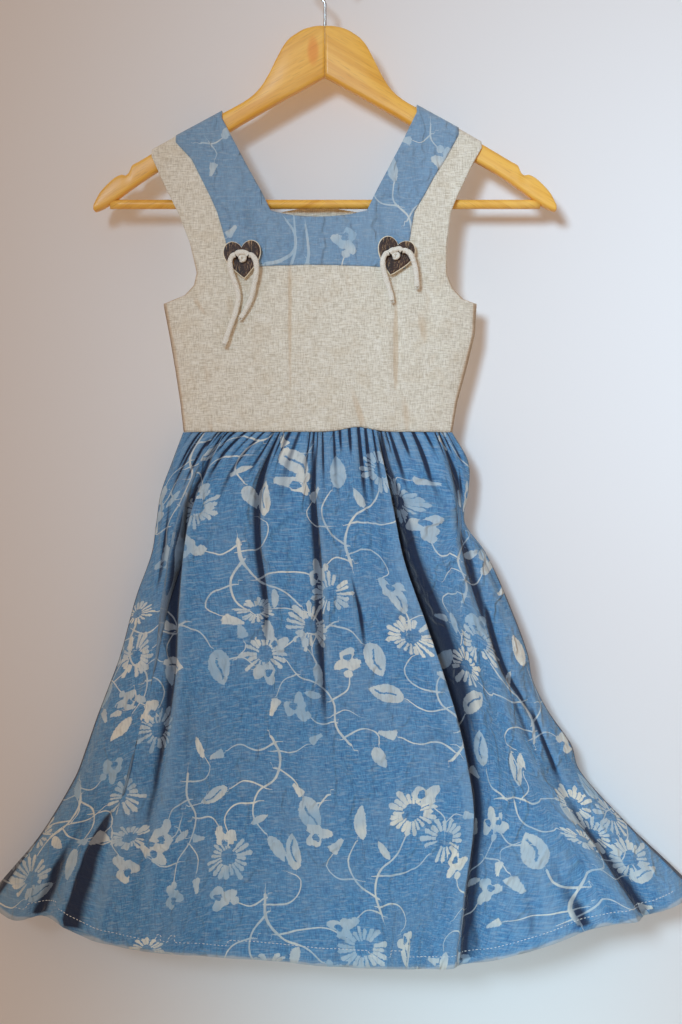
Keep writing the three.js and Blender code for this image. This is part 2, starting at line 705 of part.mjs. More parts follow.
// Where a column of the cloth runs, as a share of the way from the left side seam to the right one.
// Columns crowd round the folds that have one and follow them down. Above a fold that starts lower
// they draw together towards its start.
function columnPlace(side, at, drop) {
  const stations = [[0, 0]];
  for (const fold of FOLDS.filter((f) => f.side === side && f.column).sort((a, b) => a.column - b.column)) {
    const met = Math.min(fold.to, Math.max(fold.from, drop));
    const run = (met - fold.from) / (fold.to - fold.from);
    const span = skirtRight(met) - skirtLeft(met);
    const drawn = Math.min(1, Math.max(0, 1 - (fold.from - drop) / DRAWN_FROM));
    const place = mix(fold.column, (fold.xAt(run) - skirtLeft(met)) / span, drawn);
    const kept = Math.min(FOLD_COLUMNS, FOLD_ROOM * fold.column, FOLD_ROOM * (1 - fold.column));
    const wanted = mix(kept, (FOLD_REACH * fold.wideAt(run)) / span, drawn);
    const reach = Math.min(wanted, FOLD_ROOM * place, FOLD_ROOM * (1 - place));
    stations.push([fold.column - kept, place - reach], [fold.column + kept, place + reach]);
  }
  stations.push([1, 1]);
  let k = 1;
  while (at > stations[k][0] && k < stations.length - 1) k += 1;
  const [from, to] = [stations[k - 1], stations[k]];
  return mix(from[1], to[1], (at - from[0]) / (to[0] - from[0]));
}

function skirtPoint(side, at, drop) {
  const across = columnPlace(side, at, drop);
  const waist = WAIST_Z - SEAM + waistLift(mix(SKIRT[0].left, SKIRT[0].right, columnPlace(side, at, 0)));
  const z = mix(waist, hemZ(across), drop);
  const c = 2 * across - 1;
  const atSide = Math.min(1, (1 - Math.abs(c)) * 10); // folds die out into the side seams
  let x = mix(skirtLeft(drop), skirtRight(drop), across);
  let pressed = gathered(side > 0 ? FRONT_GATHERS : BACK_GATHERS, at, waist - z);
  let lean = 0;
  for (const fold of FOLDS) {
    if (fold.side !== side || drop < fold.from || drop > fold.to) continue;
    const run = (drop - fold.from) / (fold.to - fold.from);
    const deep = fold.depthAt(run);
    const off = (x - fold.xAt(run)) / fold.wideAt(run);
    pressed += deep * (bump(off) - fold.roll * bump((off + 1.9) / 1.3));
    lean += ((fold.lean * deep) / 20) * bump((off + 1) / 1.1);
  }
  const stands = (side > 0 ? skirtFront(drop) : skirtBack(drop)) * fullness(c);
  const least = SEAM / 2 + 1.5 * CLOTH * Math.min(1, (1 - Math.abs(c)) * 25);
  const depth = Math.max(least, stands - pressed * atSide);
  x += lean * atSide;
  return point(x, -side * depth, z);
}

// Bands of rows from the waist to the hem, each with its count of columns: fine where the gathers are.
function skirtSheet(side, bands) {
  const sheet = new Sheet();
  let above = null;
  for (const { columns, drops } of bands) {
    for (const drop of drops) {
      const laid = sheet.row(columns, (at) => skirtPoint(side, at, drop), drop === 0 ? "z" : null);
      sheet.squareEnds(laid, drop === 0 ? "yz" : "y");
      if (above) sheet.stitch(above, laid);
      above = laid;
    }
  }
  return side > 0 ? sheet : sheet.flipped();
}

const SKIRT_FRONT_BANDS = [
  { columns: 160, drops: [0, 0.018, 0.042] },
  { columns: 80, drops: [0.075, 0.115, 0.16] },
  { columns: 60, drops: [0.215, 0.28, 0.35, 0.43, 0.52, 0.61, 0.7, 0.79, 0.87, 0.94, 1] },
];
const SKIRT_BACK_BANDS = [
  { columns: 136, drops: [0, 0.018, 0.042] },
  { columns: 68, drops: [0.08, 0.13] },
  { columns: 46, drops: [0.2, 0.3, 0.42, 0.55, 0.68, 0.8, 0.91, 1] },
];
add("skirt_front", skirtSheet(1, SKIRT_FRONT_BANDS).wall(CLOTH), PRINT, dress);
add("skirt_back", skirtSheet(-1, SKIRT_BACK_BANDS).wall(CLOTH), PRINT, dress);

// ---- Heart buttons and their knotted cords ---------------------------------------------------------

const HEART_SIZE = 36;
const HEART_THICK = 4;
const HEART_EDGE = 0.7; // rounding of the heart's edges
const HEART_HOLE = 3; // radius of the hole for the cord
const CORD_RADIUS = 2.6;

// x, z: the cord's hole. turn: how the heart is turned, in degrees. seat: how far out its back lies.
// tails: the cords' routes from the knot, as steps across, out from the heart's face, and down.
const HEARTS = [
  {
    name: "left", x: -71.5, z: -297.5, turn: 5, seat: 18.9,
    tails: [
      [
        [-6.4, 3.4, 1], [-9.4, 3.1, 0], [-11.6, 2.5, -6.5], [-9.6, 1.2, -17], [-5.2, -0.4, -29],
        [-3.8, -1.2, -40], [-7.2, -1.6, -55], [-12.4, -1.8, -69], [-17.4, -1.8, -83],
      ],
      [
        [6.4, 3.4, 1], [9.6, 3.1, 0.4], [13, 2.6, -5], [13.6, 1.6, -15], [11.2, 0, -27],
        [8.4, -0.9, -39], [3.4, -1.4, -50], [-1.6, -1.7, -58],
      ],
    ],
  },
  {
    name: "right", x: 74, z: -295, turn: -14, seat: 18.8,
    tails: [
      [
        [-6.4, 3.4, 0.6], [-9.6, 3.1, -0.6], [-12.2, 2.6, -7], [-11.2, 1.4, -16],
        [-8.4, 0, -25], [-5.6, -1, -34], [-3.4, -1.4, -44],
      ],
      [
        [6.4, 3.6, 2.4], [9.6, 3.6, 2.4], [14, 3.2, -0.6],
        [17.6, 1.6, -9], [19.6, 0, -19], [20.4, -1, -31],
      ],
    ],
  },
];

function heartOutline() {
  const s = HEART_SIZE / 2;
  const edge = new THREE.Path();
  edge.moveTo(0, -s * 1.16);
  edge.bezierCurveTo(-s * 0.36, -s * 0.86, -s * 1.02, -s * 0.3, -s * 1.0, s * 0.24);
  edge.bezierCurveTo(-s * 0.98, s * 0.72, -s * 0.66, s * 0.86, -s * 0.48, s * 0.84);
  edge.bezierCurveTo(-s * 0.24, s * 0.82, -s * 0.06, s * 0.66, 0, s * 0.52);
  edge.bezierCurveTo(s * 0.06, s * 0.66, s * 0.24, s * 0.82, s * 0.48, s * 0.84);
  edge.bezierCurveTo(s * 0.66, s * 0.86, s * 0.98, s * 0.72, s * 1.0, s * 0.24);
  edge.bezierCurveTo(s * 1.02, -s * 0.3, s * 0.36, -s * 0.86, 0, -s * 1.16);
  const heart = new THREE.Shape(edge.getPoints(5).slice(0, -1));
  const hole = Array.from({ length: 12 }, (_, i) => {
    const angle = (i / 12) * 2 * Math.PI;
    return new THREE.Vector2(HEART_HOLE * Math.cos(angle), HEART_HOLE * Math.sin(angle));
  });
  heart.holes.push(new THREE.Path(hole));
  return heart;
}

function heartGeometry(turn) {
  const heart = new THREE.ExtrudeGeometry(heartOutline(), {
    depth: HEART_THICK - 2 * HEART_EDGE,
    bevelThickness: HEART_EDGE,
    bevelSize: HEART_EDGE,
    bevelOffset: -HEART_EDGE,
    bevelSegments: 1,
  });
  heart.translate(0, 0, HEART_EDGE);
  return heart.rotateZ(THREE.MathUtils.degToRad(turn)).rotateX(Math.PI / 2);
}

// The knot sits on the heart's face, and its stem goes back through the hole to the cloth.
function knotGeometry() {
  const ball = new THREE.SphereGeometry(1, 12, 8).scale(5.4, 3.6, 4.9).translate(0, -HEART_THICK - 3.9, 0);
  const stem = rod(point(0, SEAM, 0), point(0, -HEART_THICK - 3, 0), HEART_HOLE - SEAM - 0.2, 10);
  return asGeometry(asSolid(ball).add(asSolid(stem)));
}

for (const heart of HEARTS) {
  const place = new THREE.Group();
  place.position.set(heart.x, -heart.seat, heart.z);
  dress.add(place);
  add(`heart_${heart.name}`, heartGeometry(heart.turn), SHELL, place);
  add(`cord_knot_${heart.name}`, knotGeometry(), CORD, place);
  heart.tails.forEach((steps, i) => {
    const route = steps.map(([x, out, z]) => point(x, -HEART_THICK - 0.7 - out, z));
    const curve = new THREE.CatmullRomCurve3(route, false, "centripetal");
    const pieces = Math.round(curve.getLength() / (4.4 * CORD_RADIUS));
    add(`cord_tail_${heart.name}_${i + 1}`, tube(curve, CORD_RADIUS, 8, 2 * pieces), CORD, place);
  });
}

export default dirndl;
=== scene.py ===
# A girl's sleeveless dirndl on a wooden clothes hanger. The bodice is natural linen; a neck band and
# the skirt are cut from one faded blue cotton printed with asters, leaves and vines. The skirt is
# gathered into the waist seam and hemmed by machine. Two coconut hearts carry knotted cotton cords.
import math

import bpy
import numpy as np
from mathutils import Matrix, Vector


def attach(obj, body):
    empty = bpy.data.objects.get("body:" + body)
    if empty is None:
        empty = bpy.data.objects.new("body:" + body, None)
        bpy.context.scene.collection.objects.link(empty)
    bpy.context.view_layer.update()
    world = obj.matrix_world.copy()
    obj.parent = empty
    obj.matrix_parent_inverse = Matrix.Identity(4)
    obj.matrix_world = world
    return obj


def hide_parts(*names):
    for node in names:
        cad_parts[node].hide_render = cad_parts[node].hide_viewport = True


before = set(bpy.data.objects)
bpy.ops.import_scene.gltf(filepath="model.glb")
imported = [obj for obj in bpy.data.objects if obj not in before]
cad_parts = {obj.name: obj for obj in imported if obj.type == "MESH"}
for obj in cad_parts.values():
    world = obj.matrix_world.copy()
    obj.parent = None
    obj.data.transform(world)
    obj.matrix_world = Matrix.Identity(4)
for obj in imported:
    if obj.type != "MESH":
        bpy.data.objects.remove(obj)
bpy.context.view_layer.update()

# ==== Hanger ==========================================================================================
# Two beech arms are sawn to shape, rounded at their edges, glued together at the middle and lacquered.
# A dowel bar joins their lower ends. A bright wire hook, rounded off at its end, is set into the top.

MM = 0.001
SEAM = 0.3  # sizes are in millimetres; this gap stands for a joint or a sewn seam
HANGER_THICK = 12
ARM_ROUNDING = 4.2
BAR_Z = -243.5
BAR_RADIUS = 4.5
BAR_REACH = 207
WIRE_RADIUS = 1.6
HOOK_RADIUS = 20
WOOD_TOP = -72
ARM_STEPS, CORNER_STEPS, WIRE_STEPS = 90, 4, 120
# x, height of the top edge, height of the underside
ARM = [
    (SEAM / 2, -72, -121.5), (7, -72, -125), (14, -73.2, -129), (21, -75.4, -133), (28, -79.5, -136.8),
    (34, -83.8, -140), (40, -91, -143.4), (47, -104, -147.4), (54, -118, -151.5), (61, -129.5, -155.5),
    (68, -137.5, -159.6), (78, -145, -165.4), (92, -152.8, -174), (110, -162.5, -184),
    (135, -176.6, -197.6), (160, -191.2, -211.6), (179, -202.6, -224), (186, -206.8, -229),
    (188.5, -213, -230.8), (192, -215.8, -233.4), (196, -215.2, -236.4), (203, -218.6, -241.4),
    (211, -226, -246.6), (217, -233, -249.6), (221, -240.5, -250.8), (222.5, -244.6, -249.6),
]  # fmt: skip


def smooth(stations, values, at):
    """A smooth curve through values at the stations."""
    s, v = np.asarray(stations, float), np.asarray(values, float)
    at = np.asarray(at, float)
    last = len(s) - 1
    i = np.clip(np.searchsorted(s, at, side="left") - 1, 0, last - 1)
    before, after = np.maximum(np.arange(last + 1) - 1, 0), np.minimum(np.arange(last + 1) + 1, last)
    slope = (v[after] - v[before]) / (s[after] - s[before])
    span = s[i + 1] - s[i]
    t = np.clip((at - s[i]) / span, 0, 1)
    return (
        v[i] * (2 * t**3 - 3 * t**2 + 1)
        + slope[i] * span * (t**3 - 2 * t**2 + t)
        + v[i + 1] * (3 * t**2 - 2 * t**3)
        + slope[i + 1] * span * (t**3 - t**2)
    )


def solid(name, points, faces, material):
    """A smooth mesh object from points in millimetres."""
    mesh = bpy.data.meshes.new(name)
    mesh.from_pydata((np.asarray(points, float) * MM).tolist(), [], [list(map(int, f)) for f in faces])
    mesh.validate()
    mesh.shade_smooth()
    mesh.materials.append(material)
    made = bpy.data.objects.new(name, mesh)
    bpy.context.scene.collection.objects.link(made)
    return made


class Net:
    """Nodes of one tree, added by short calls that return an output socket."""

    def __init__(self, tree):
        self.tree = tree

    def add(self, kind, inputs=(), out=0, **settings):
        node = self.tree.nodes.new(kind)
        for key, value in settings.items():
            setattr(node, key, value)
        for key, value in inputs.items() if isinstance(inputs, dict) else enumerate(inputs):
            if isinstance(value, bpy.types.NodeSocket):
                self.tree.links.new(value, node.inputs[key])
            elif value is not None:
                node.inputs[key].default_value = value
        return node.outputs[out]

    def calc(self, operation, a, b=0.5, c=0.5):
        return self.add("ShaderNodeMath", (a, b, c), operation=operation)

    def soft(self, value, low, high):
        """0 at low, 1 at high, smooth between."""
        return self.add("ShaderNodeMapRange", (value, low, high), interpolation_type="SMOOTHSTEP")

    def blend(self, share, a, b):
        return self.add("ShaderNodeMix", {0: share, 6: a, 7: b}, 2, data_type="RGBA")

    def noise(self, vector, scale, detail=3.0, roughness=0.5, out=0):
        inputs = {"Vector": vector, "Scale": scale, "Detail": detail, "Roughness": roughness}
        return self.add("ShaderNodeTexNoise", inputs, out)

    def stretched(self, vector, x, y, z=1.0):
        return self.add("ShaderNodeVectorMath", (vector, (x, y, z)), operation="MULTIPLY")

    def bump(self, height, depth, strength=1.0):
        return self.add("ShaderNodeBump", {"Strength": strength, "Distance": depth, "Height": height})

    def tinted(self, tone, mask, low, high, share, tint):
        """The tone, with up to that share of a tint where the mask goes from low to high."""
        there = self.calc("MULTIPLY", self.soft(mask, low, high), share)
        return self.blend(there, tone, colour(*tint))

    def attribute(self, name, out):
        """A measure that the mesh carries: Fac for a number, Vector for three."""
        return self.add(
            "ShaderNodeAttribute", attribute_name=name, attribute_type="GEOMETRY", out=out
        )

    def feed(self, shader, **values):
        """Links values to the shader's inputs, whose names have _ for a space here."""
        for key, value in values.items():
            self.tree.links.new(value, shader.inputs[key.replace("_", " ")])


def colour(*screen):
    """A screen colour, red, green and blue up to 255, as Blender's linear one."""
    linear = (((c / 255 + 0.055) / 1.055) ** 2.4 if c > 10 else c / 255 / 12.92 for c in screen)
    return (*linear, 1)


def material(name, roughness, **inputs):
    """A material's net and its Principled shader."""
    made = bpy.data.materials.new(name)
    made.use_nodes = True
    shader = made.node_tree.nodes["Principled BSDF"]
    shader.inputs["Roughness"].default_value = roughness
    for key, value in inputs.items():
        shader.inputs[key.replace("_", " ")].default_value = value
    return made, Net(made.node_tree), shader


# The stain is an upright smear just left of the glue joint: its middle and half size, in metres.
STAIN_X, STAIN_Z, STAIN_WIDE, STAIN_HIGH = -0.0115, -0.097, 0.006, 0.015


def wood():
    """Beech under satin lacquer: grain along each arm, flecks, an orange stain by the glue joint."""
    made, net, shader = material("lacquered beech", 0.42, Coat_Weight=0.2, Coat_Roughness=0.25)
    place = net.add("ShaderNodeTexCoord", out="Object")
    x, y, z = (net.add("ShaderNodeSeparateXYZ", (place,), k) for k in range(3))
    # The grain runs along each arm, 30 degrees down from level.
    across = net.calc("ABSOLUTE", x)
    along = net.calc("SUBTRACT", net.calc("MULTIPLY", across, 0.86), net.calc("MULTIPLY", z, 0.5))
    over = net.calc("ADD", net.calc("MULTIPLY", across, 0.5), net.calc("MULTIPLY", z, 0.86))
    sided = net.calc("MULTIPLY_ADD", net.calc("SIGN", x), 0.4, over)
    grain = net.add("ShaderNodeCombineXYZ", (along, sided, y))
    bands = net.noise(net.stretched(grain, 7, 150, 40), 1.0, 4.0, 0.6)
    flecks = net.noise(net.stretched(grain, 60, 1300, 300), 1.0, 2.0)
    cloud = net.noise(net.stretched(grain, 9, 22, 9), 1.0, 2.0)
    tone = net.blend(net.soft(bands, 0.36, 0.66), colour(247, 189, 78), colour(230, 164, 52))
    tone = net.tinted(tone, flecks, 0.56, 0.7, 0.35, (150, 96, 40))
    tone = net.tinted(tone, cloud, 0.35, 0.75, 0.4, (250, 206, 118))
    beside = net.calc("MULTIPLY", net.calc("ADD", x, -STAIN_X), 1 / STAIN_WIDE)
    above = net.calc("MULTIPLY", net.calc("ADD", z, -STAIN_Z), 1 / STAIN_HIGH)
    off = net.calc("ADD", net.calc("MULTIPLY", beside, beside), net.calc("MULTIPLY", above, above))
    tone = net.tinted(tone, off, 1.3, 0.1, 0.55, (234, 126, 20))
    net.feed(shader, Base_Color=tone, Normal=net.bump(flecks, 0.00005))
    return made


def ring(top, under, x):
    """The rounded section of an arm at x."""
    middle, half = (top + under) / 2, (top - under) / 2
    rounding = min(ARM_ROUNDING, 0.8 * half)
    section = []
    for corner, (to_y, to_z) in enumerate([(1, 1), (-1, 1), (-1, -1), (1, -1)]):
        for k in range(CORNER_STEPS + 1):
            angle = (corner + k / CORNER_STEPS) * math.pi / 2
            y = to_y * (HANGER_THICK / 2 - rounding) + rounding * math.cos(angle)
            section.append((x, y, middle + to_z * (half - rounding) + rounding * math.sin(angle)))
    return section


def loft(sections):
    """Faces and points of a skin through closed sections, capped at both ends."""
    round_ = len(sections[0])
    faces = []
    for s in range(1, len(sections)):
        for i in range(round_):
            a, b = (s - 1) * round_ + i, (s - 1) * round_ + (i + 1) % round_
            faces.append((a, b, b + round_, a + round_))
    faces.append(list(range(round_))[::-1])
    faces.append([(len(sections) - 1) * round_ + i for i in range(round_)])
    return [p for section in sections for p in section], faces


def arm(side, made_of):
    """One arm of the hanger, its ends cut square."""
    xs, tops, unders = zip(*ARM)
    fine = sorted(set(xs) | set(np.linspace(xs[0], xs[-1], ARM_STEPS).round(3)))
    sections = []
    for x in fine:
        top, under = (float(smooth(xs, heights, x)) for heights in (tops, unders))
        sections.append(ring(top, under, side * x))
    points, faces = loft(sections)
    if side < 0:
        faces = [f[::-1] for f in faces]
    made = solid(f"arm_{'left' if side < 0 else 'right'}", points, faces, made_of)
    for end in made.data.polygons[-2:]:
        end.use_smooth = False
    return made


def sweep(route, radius, sides=16, flat=1.0):
    """Sections of a round cord or rod along a route of points; flat below 1 presses it out of round."""
    route = np.asarray(route, float)
    tangents = np.gradient(route, axis=0)
    tangents /= np.linalg.norm(tangents, axis=1)[:, None]
    side = np.cross(tangents[0], (0, 1, 0))
    if np.linalg.norm(side) < 0.1:
        side = np.cross(tangents[0], (1, 0, 0))
    sections = []
    for k, (p, t) in enumerate(zip(route, tangents)):
        side = side - t * side.dot(t)
        side /= np.linalg.norm(side)
        up = np.cross(t, side)
        r = radius[k] if hasattr(radius, "__len__") else radius
        angles = np.arange(sides) / sides * 2 * math.pi
        sections.append([p + r * (math.cos(a) * side + flat * math.sin(a) * up) for a in angles])
    return sections


def curve_through(points, count):
    """count points of a smooth curve through the given ones, evenly spaced along it."""
    points = np.asarray(points, float)
    length = np.concatenate([[0], np.cumsum(np.linalg.norm(np.diff(points, axis=0), axis=1))])
    rough = np.linspace(0, length[-1], 8 * count)
    fine = np.stack([smooth(length, points[:, k], rough) for k in range(points.shape[1])], 1)
    run = np.concatenate([[0], np.cumsum(np.linalg.norm(np.diff(fine, axis=0), axis=1))])
    even = np.linspace(0, run[-1], count)
    return np.stack([np.interp(even, run, fine[:, k]) for k in range(points.shape[1])], 1)


beech = wood()
for side, node in ((-1, "hanger_arm_left"), (1, "hanger_arm_right")):
    made = arm(side, beech)
    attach(made, "root")
    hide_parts(node)

rod = [(x, 0, BAR_Z) for x in np.linspace(-BAR_REACH, BAR_REACH, 40)]
points, faces = loft(sweep(rod, BAR_RADIUS, 28))
bar = solid("bar", points, faces, beech)
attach(bar, "root")
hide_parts("hanger_bar")

steel, net, shader = material("bright wire", 0.22, Metallic=1.0)
place = net.add("ShaderNodeTexCoord", out="Object")
drawn = net.noise(net.stretched(place, 900, 900, 60), 1.0, 2.0)  # marks left by the drawing of the wire
net.feed(
    shader,
    Base_Color=net.blend(drawn, colour(178, 180, 182), colour(214, 214, 212)),
    Roughness=net.calc("MULTIPLY_ADD", drawn, 0.2, 0.14),
)
bend = HOOK_RADIUS + WIRE_RADIUS
# Up out of the wood, out to the left, and round the bend to its open end.
route = [
    (0, 0, WOOD_TOP - 1),
    (0, 0, WOOD_TOP + 14),
    (-0.7, 0, -HOOK_RADIUS - 1.32 * bend),
    (-0.57 * bend, 0, -HOOK_RADIUS - 0.82 * bend),
]
for degrees in range(200, -31, -23):
    angle = math.radians(degrees)
    route.append((bend * math.cos(angle), 0, bend * math.sin(angle) - HOOK_RADIUS))
line = curve_through(route, WIRE_STEPS)
radii = np.full(WIRE_STEPS, float(WIRE_RADIUS))
radii[-4:] = WIRE_RADIUS * np.array([0.97, 0.88, 0.66, 0.3])  # the end is rounded off
points, faces = loft(sweep(line, radii, 16))
hook = solid("wire_hook", points, faces, steel)
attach(hook, "root")
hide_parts("hanger_hook")

# ==== Bodice ==========================================================================================
# A front and a back of natural linen, plainly woven, cut with the outer half of both shoulder straps.
# They are sewn together at the sides and on the shoulders, and the straps bend over the hanger's arms.

DRESS_X = -6.8
CLOTH = 1.2
WAIST_Z = -463
SHOULDER_RADIUS = 8.2
STRAP_COLUMNS, BAND_COLUMNS, NECK_COLUMNS = 4, 4, 6
FINER = 5  # fine columns for each of those
BODICE_ROWS, YOKE_ROWS, STRAP_ROWS, SHOULDER_ROWS = 84, 26, 7, 10


def named(keys, rows):
    """Each row of values as a dict."""
    return [dict(zip(keys.split(), row)) for row in rows]


# From the waist up to the neck edge: the height at the middle (mid) and at both edges (lz, rz), the
# places across of the edges, of the band's outer edges (lb, rb) and of the neck line (ln, rn), how far
# the front and back stand out, and how open the side is.
BODY = named("mid lz left lb ln rn rb right rz front back open", [
    (-463, -463, -129.5, -74, -40, 40, 74, 129.5, -463, 10.5, 9, 0),
    (-432, -436, -132.5, -75, -41, 41, 75, 134.5, -434, 14, 10, 0),
    (-398, -403, -137.5, -76, -42, 42, 76, 143, -403, 17, 11, 0),
    (-366, -369, -143.3, -77, -43, 44, 77, 151.5, -369, 18, 11, 0),
    (-341, -339.5, -149, -78, -44, 45, 78, 153, -339.5, 18, 11, 0),
    (-330, -331.5, -128, -79, -44.5, 45.5, 79.5, 140, -335.5, 18, 10.5, 0.22),
    (-319, -322.5, -119, -80, -45, 46, 81.5, 130, -326, 17.7, 10.3, 0.4),
    (-304.5, -311, -116, -82, -45, 46.5, 83.5, 124, -313, 17.2, 10, 0.58),
    (-278, -284, -122, -88, -45, 46.8, 87.5, 123.5, -284, 15.5, 9.3, 0.8),
    (-251.5, -256, -132.5, -96, -45, 47, 92.5, 127, -254, 13, 9.3, 0.95),
])  # fmt: skip
YOKE_ROW = 7
# Rows of each strap up to where it bends over the hanger: outer edge, band's edge and neck edge.
STRAPS = {
    "left": [
        dict(outer=-140, oz=-241, band=-103, bz=-238, neck=-54.5, nz=-232, front=11.5, back=9),
        dict(outer=-147.5, oz=-226, band=-112, bz=-220, neck=-67, nz=-210, front=10.2, back=8.7),
        dict(outer=-154, oz=-211, band=-121, bz=-202, neck=-79, nz=-187, front=8.8, back=8.4),
        dict(outer=-159.5, band=-136, neck=-92, front=8.2, back=8.2, outer_lift=4.4, neck_lift=2.6),
    ],
    "right": [
        dict(outer=132.5, oz=-239.5, band=102, bz=-237, neck=56.5, nz=-232, front=11.5, back=9),
        dict(outer=139.5, oz=-225, band=111.5, bz=-219, neck=68, nz=-210, front=10.2, back=8.7),
        dict(outer=148, oz=-207, band=123.5, bz=-200, neck=80, nz=-187, front=8.8, back=8.4),
        dict(outer=157, band=135, neck=95, front=8.2, back=8.2, outer_lift=2.6, neck_lift=2.6),
    ],
}
for straps in STRAPS.values():
    top = straps[-1]
    wood_x, wood_z = [station[0] for station in ARM], [station[1] for station in ARM]
    over = {
        key: float(smooth(wood_x, wood_z, abs(top[key] + DRESS_X))) - SHOULDER_RADIUS
        for key in ("outer", "band", "neck")
    }
    top["oz"] = over["outer"] + top["outer_lift"]
    top["bz"] = over["band"] + (top["outer_lift"] + top["neck_lift"]) / 2
    top["nz"] = over["neck"] + top["neck_lift"]
# Creases: side (1 is the front), middle across and up, lean, half length, half width, depth.
CREASES = [
    (1, -26.5, -372, 0, 78, 3.2, 1.3),  # pressed crease left of the middle
    (1, 74.5, -378, 0.01, 46, 3.5, 2),  # tuck below the right heart
    (1, 38, -440, -0.32, 34, 7, 2.6),  # crease into the lifted waist
    (1, 28, -330, 0.02, 50, 9, 1.2),  # ripple right of the middle
    (1, 128, -372, 0.8, 26, 6, 1.6),  # drag to the right underarm
    (1, -112, -345, -0.7, 20, 5, 1.2),  # drag to the left underarm
    (-1, 14, -380, 0.02, 70, 4, 1.4),
    (-1, -70, -400, 0.25, 45, 7, 1.6),
    (-1, 84, -395, -0.2, 48, 7, 1.5),
]
# Slight waves of worn linen: direction in degrees, length of the wave, height.
LINEN_WAVES = [
    (4, 31, 0.34), (-9, 47, 0.4), (22, 23, 0.16), (-31, 38, 0.2), (74, 52, 0.22), (98, 27, 0.12),
    (12, 14, 0.08),
]  # fmt: skip


def hump(s):
    """1 at the middle, falling away smoothly on both sides."""
    return np.exp(-(s * s))


def waves(table, x, z, phase):
    """A sum of crossing waves."""
    total = np.zeros(np.broadcast(x, z).shape)
    for k, (direction, length, height) in enumerate(table):
        a = math.radians(direction)
        bow = 0.8 * np.sin((z * math.cos(a) + 1.7 * phase) / (1.9 * length) + k)
        ahead = x * math.cos(a) + z * math.sin(a)
        total += height * np.sin(2 * math.pi * ahead / length + bow + 1.3 * phase * (k + 1))
    return total


def waist_lift(x):
    """The waist seam is drawn up a little, right of the middle."""
    return 4.5 * hump((x - 38) / 17)


def neck_dip(side, row, x):
    """The neck edge's middle sags at the front and stands up at the back."""
    to_corner = x / np.where(x < 0, row["ln"], row["rn"])
    near = max(0.0, 1 - (BODY[-1]["mid"] - row["mid"]) / 27)
    return (-6.4 if side > 0 else 6.0) * np.maximum(0, 1 - to_corner**2) * near


def fullness(c):
    """How full a panel stands at a share of its half width: it closes towards the sides."""
    return (1 - np.minimum(np.abs(c), 1) ** 4) ** 0.7


class Cloth:
    """A sheet laid out row by row. Each point keeps its place on the flat cloth."""

    def __init__(self):
        self.points, self.places, self.relief, self.quads, self.square = [], [], [], [], []
        self.count = 0

    def row(self, points, places, square="", painted_shade_and_wear=0.0):
        """Adds a row, square to the named axes; painted_shade_and_wear says how dark the row is painted
        as shade in folds and gathers, and below zero how pale it is worn at the hem.
        """
        at = np.arange(self.count, self.count + len(points))
        self.points.append(points)
        self.places.append(places)
        # How far each point stands out from the row's own run, which tells ridges from troughs. Troughs
        # are painted dark with it as shade, and ridges are tinted paler.
        reach = min(6, (len(points) - 1) // 2)
        share = hump(np.arange(-reach, reach + 1) / (0.6 * reach))
        out = np.abs(points[:, 1])
        stands_out = out - np.convolve(np.pad(out, reach, "edge"), share / share.sum(), "valid")
        self.relief.append(np.minimum(stands_out, 0.6 / (1 + 6 * np.maximum(painted_shade_and_wear, 0))) - painted_shade_and_wear)
        self.count += len(points)
        for axis in square:
            self.square.append((at, "xyz".index(axis)))
        return at

    def square_ends(self, row, axes):
        """Keeps both ends of a row square to the axes, so that the panels meet in one plane."""
        for axis in axes:
            self.square.append((row[[0, -1]], "xyz".index(axis)))

    def join(self, upper, lower):
        """Cloth between two rows."""
        self.quads.append(np.stack([upper[:-1], lower[:-1], lower[1:], upper[1:]], 1))

    def shell(self, name, material, thickness, lift=0.0, turned=False, puff=0.0):
        """The closed wall. puff adds to its thickness, outward, point by point."""
        points, places = np.concatenate(self.points), np.concatenate(self.places)
        quads = np.concatenate(self.quads)
        if turned:
            quads = quads[:, ::-1]
        normals = np.zeros_like(points)
        a, b, c, d = (points[quads[:, k]] for k in range(4))
        across = np.cross(c - a, d - b)
        for k in range(4):
            np.add.at(normals, quads[:, k], across)
        for at, axis in self.square:
            normals[at, axis] = 0
        normals /= np.linalg.norm(normals, axis=1)[:, None]
        outer = points + normals * np.reshape(lift + puff, (-1, 1))
        inner = points + normals * (lift - thickness)
        count = len(points)
        sides = np.concatenate([quads[:, [k, (k + 1) % 4]] for k in range(4)])
        keys = {(int(a), int(b)) for a, b in sides}
        rim = [(a, b) for a, b in keys if (b, a) not in keys]
        walls = np.array([(b, a, a + count, b + count) for a, b in rim])
        faces = np.concatenate([quads, quads[:, ::-1] + count, walls])
        made = solid(name, np.concatenate([outer, inner]), faces, material)
        both = np.concatenate([places, places])
        corners = np.zeros(len(made.data.loops), int)
        made.data.loops.foreach_get("vertex_index", corners)
        self.corner_places = both[corners]
        flat = made.data.uv_layers.new(name="cloth")
        flat.data.foreach_set("uv", (self.corner_places * MM).astype(np.float32).ravel())
        wrong_side = np.repeat([0, 1, 0], [len(quads), len(quads), len(walls)])
        hidden = made.data.attributes.new("inside", "FLOAT", "FACE")
        hidden.data.foreach_set("value", wrong_side.astype(np.float32))
        # A mask of paler ridges, worn hem edges and painted shade in troughs and folds.
        paleness_and_shade_layer = made.data.attributes.new("relief", "FLOAT", "POINT")
        paleness_and_shade_layer.data.foreach_set("value", np.tile(np.concatenate(self.relief), 2).astype(np.float32))
        return made


def body_row(share):
    """The bodice's row at a share of the way from the waist to the neck edge."""
    at = share * (len(BODY) - 1)
    i = int(min(at, len(BODY) - 2))
    return {key: BODY[i][key] + (BODY[i + 1][key] - BODY[i][key]) * (at - i) for key in BODY[0]}


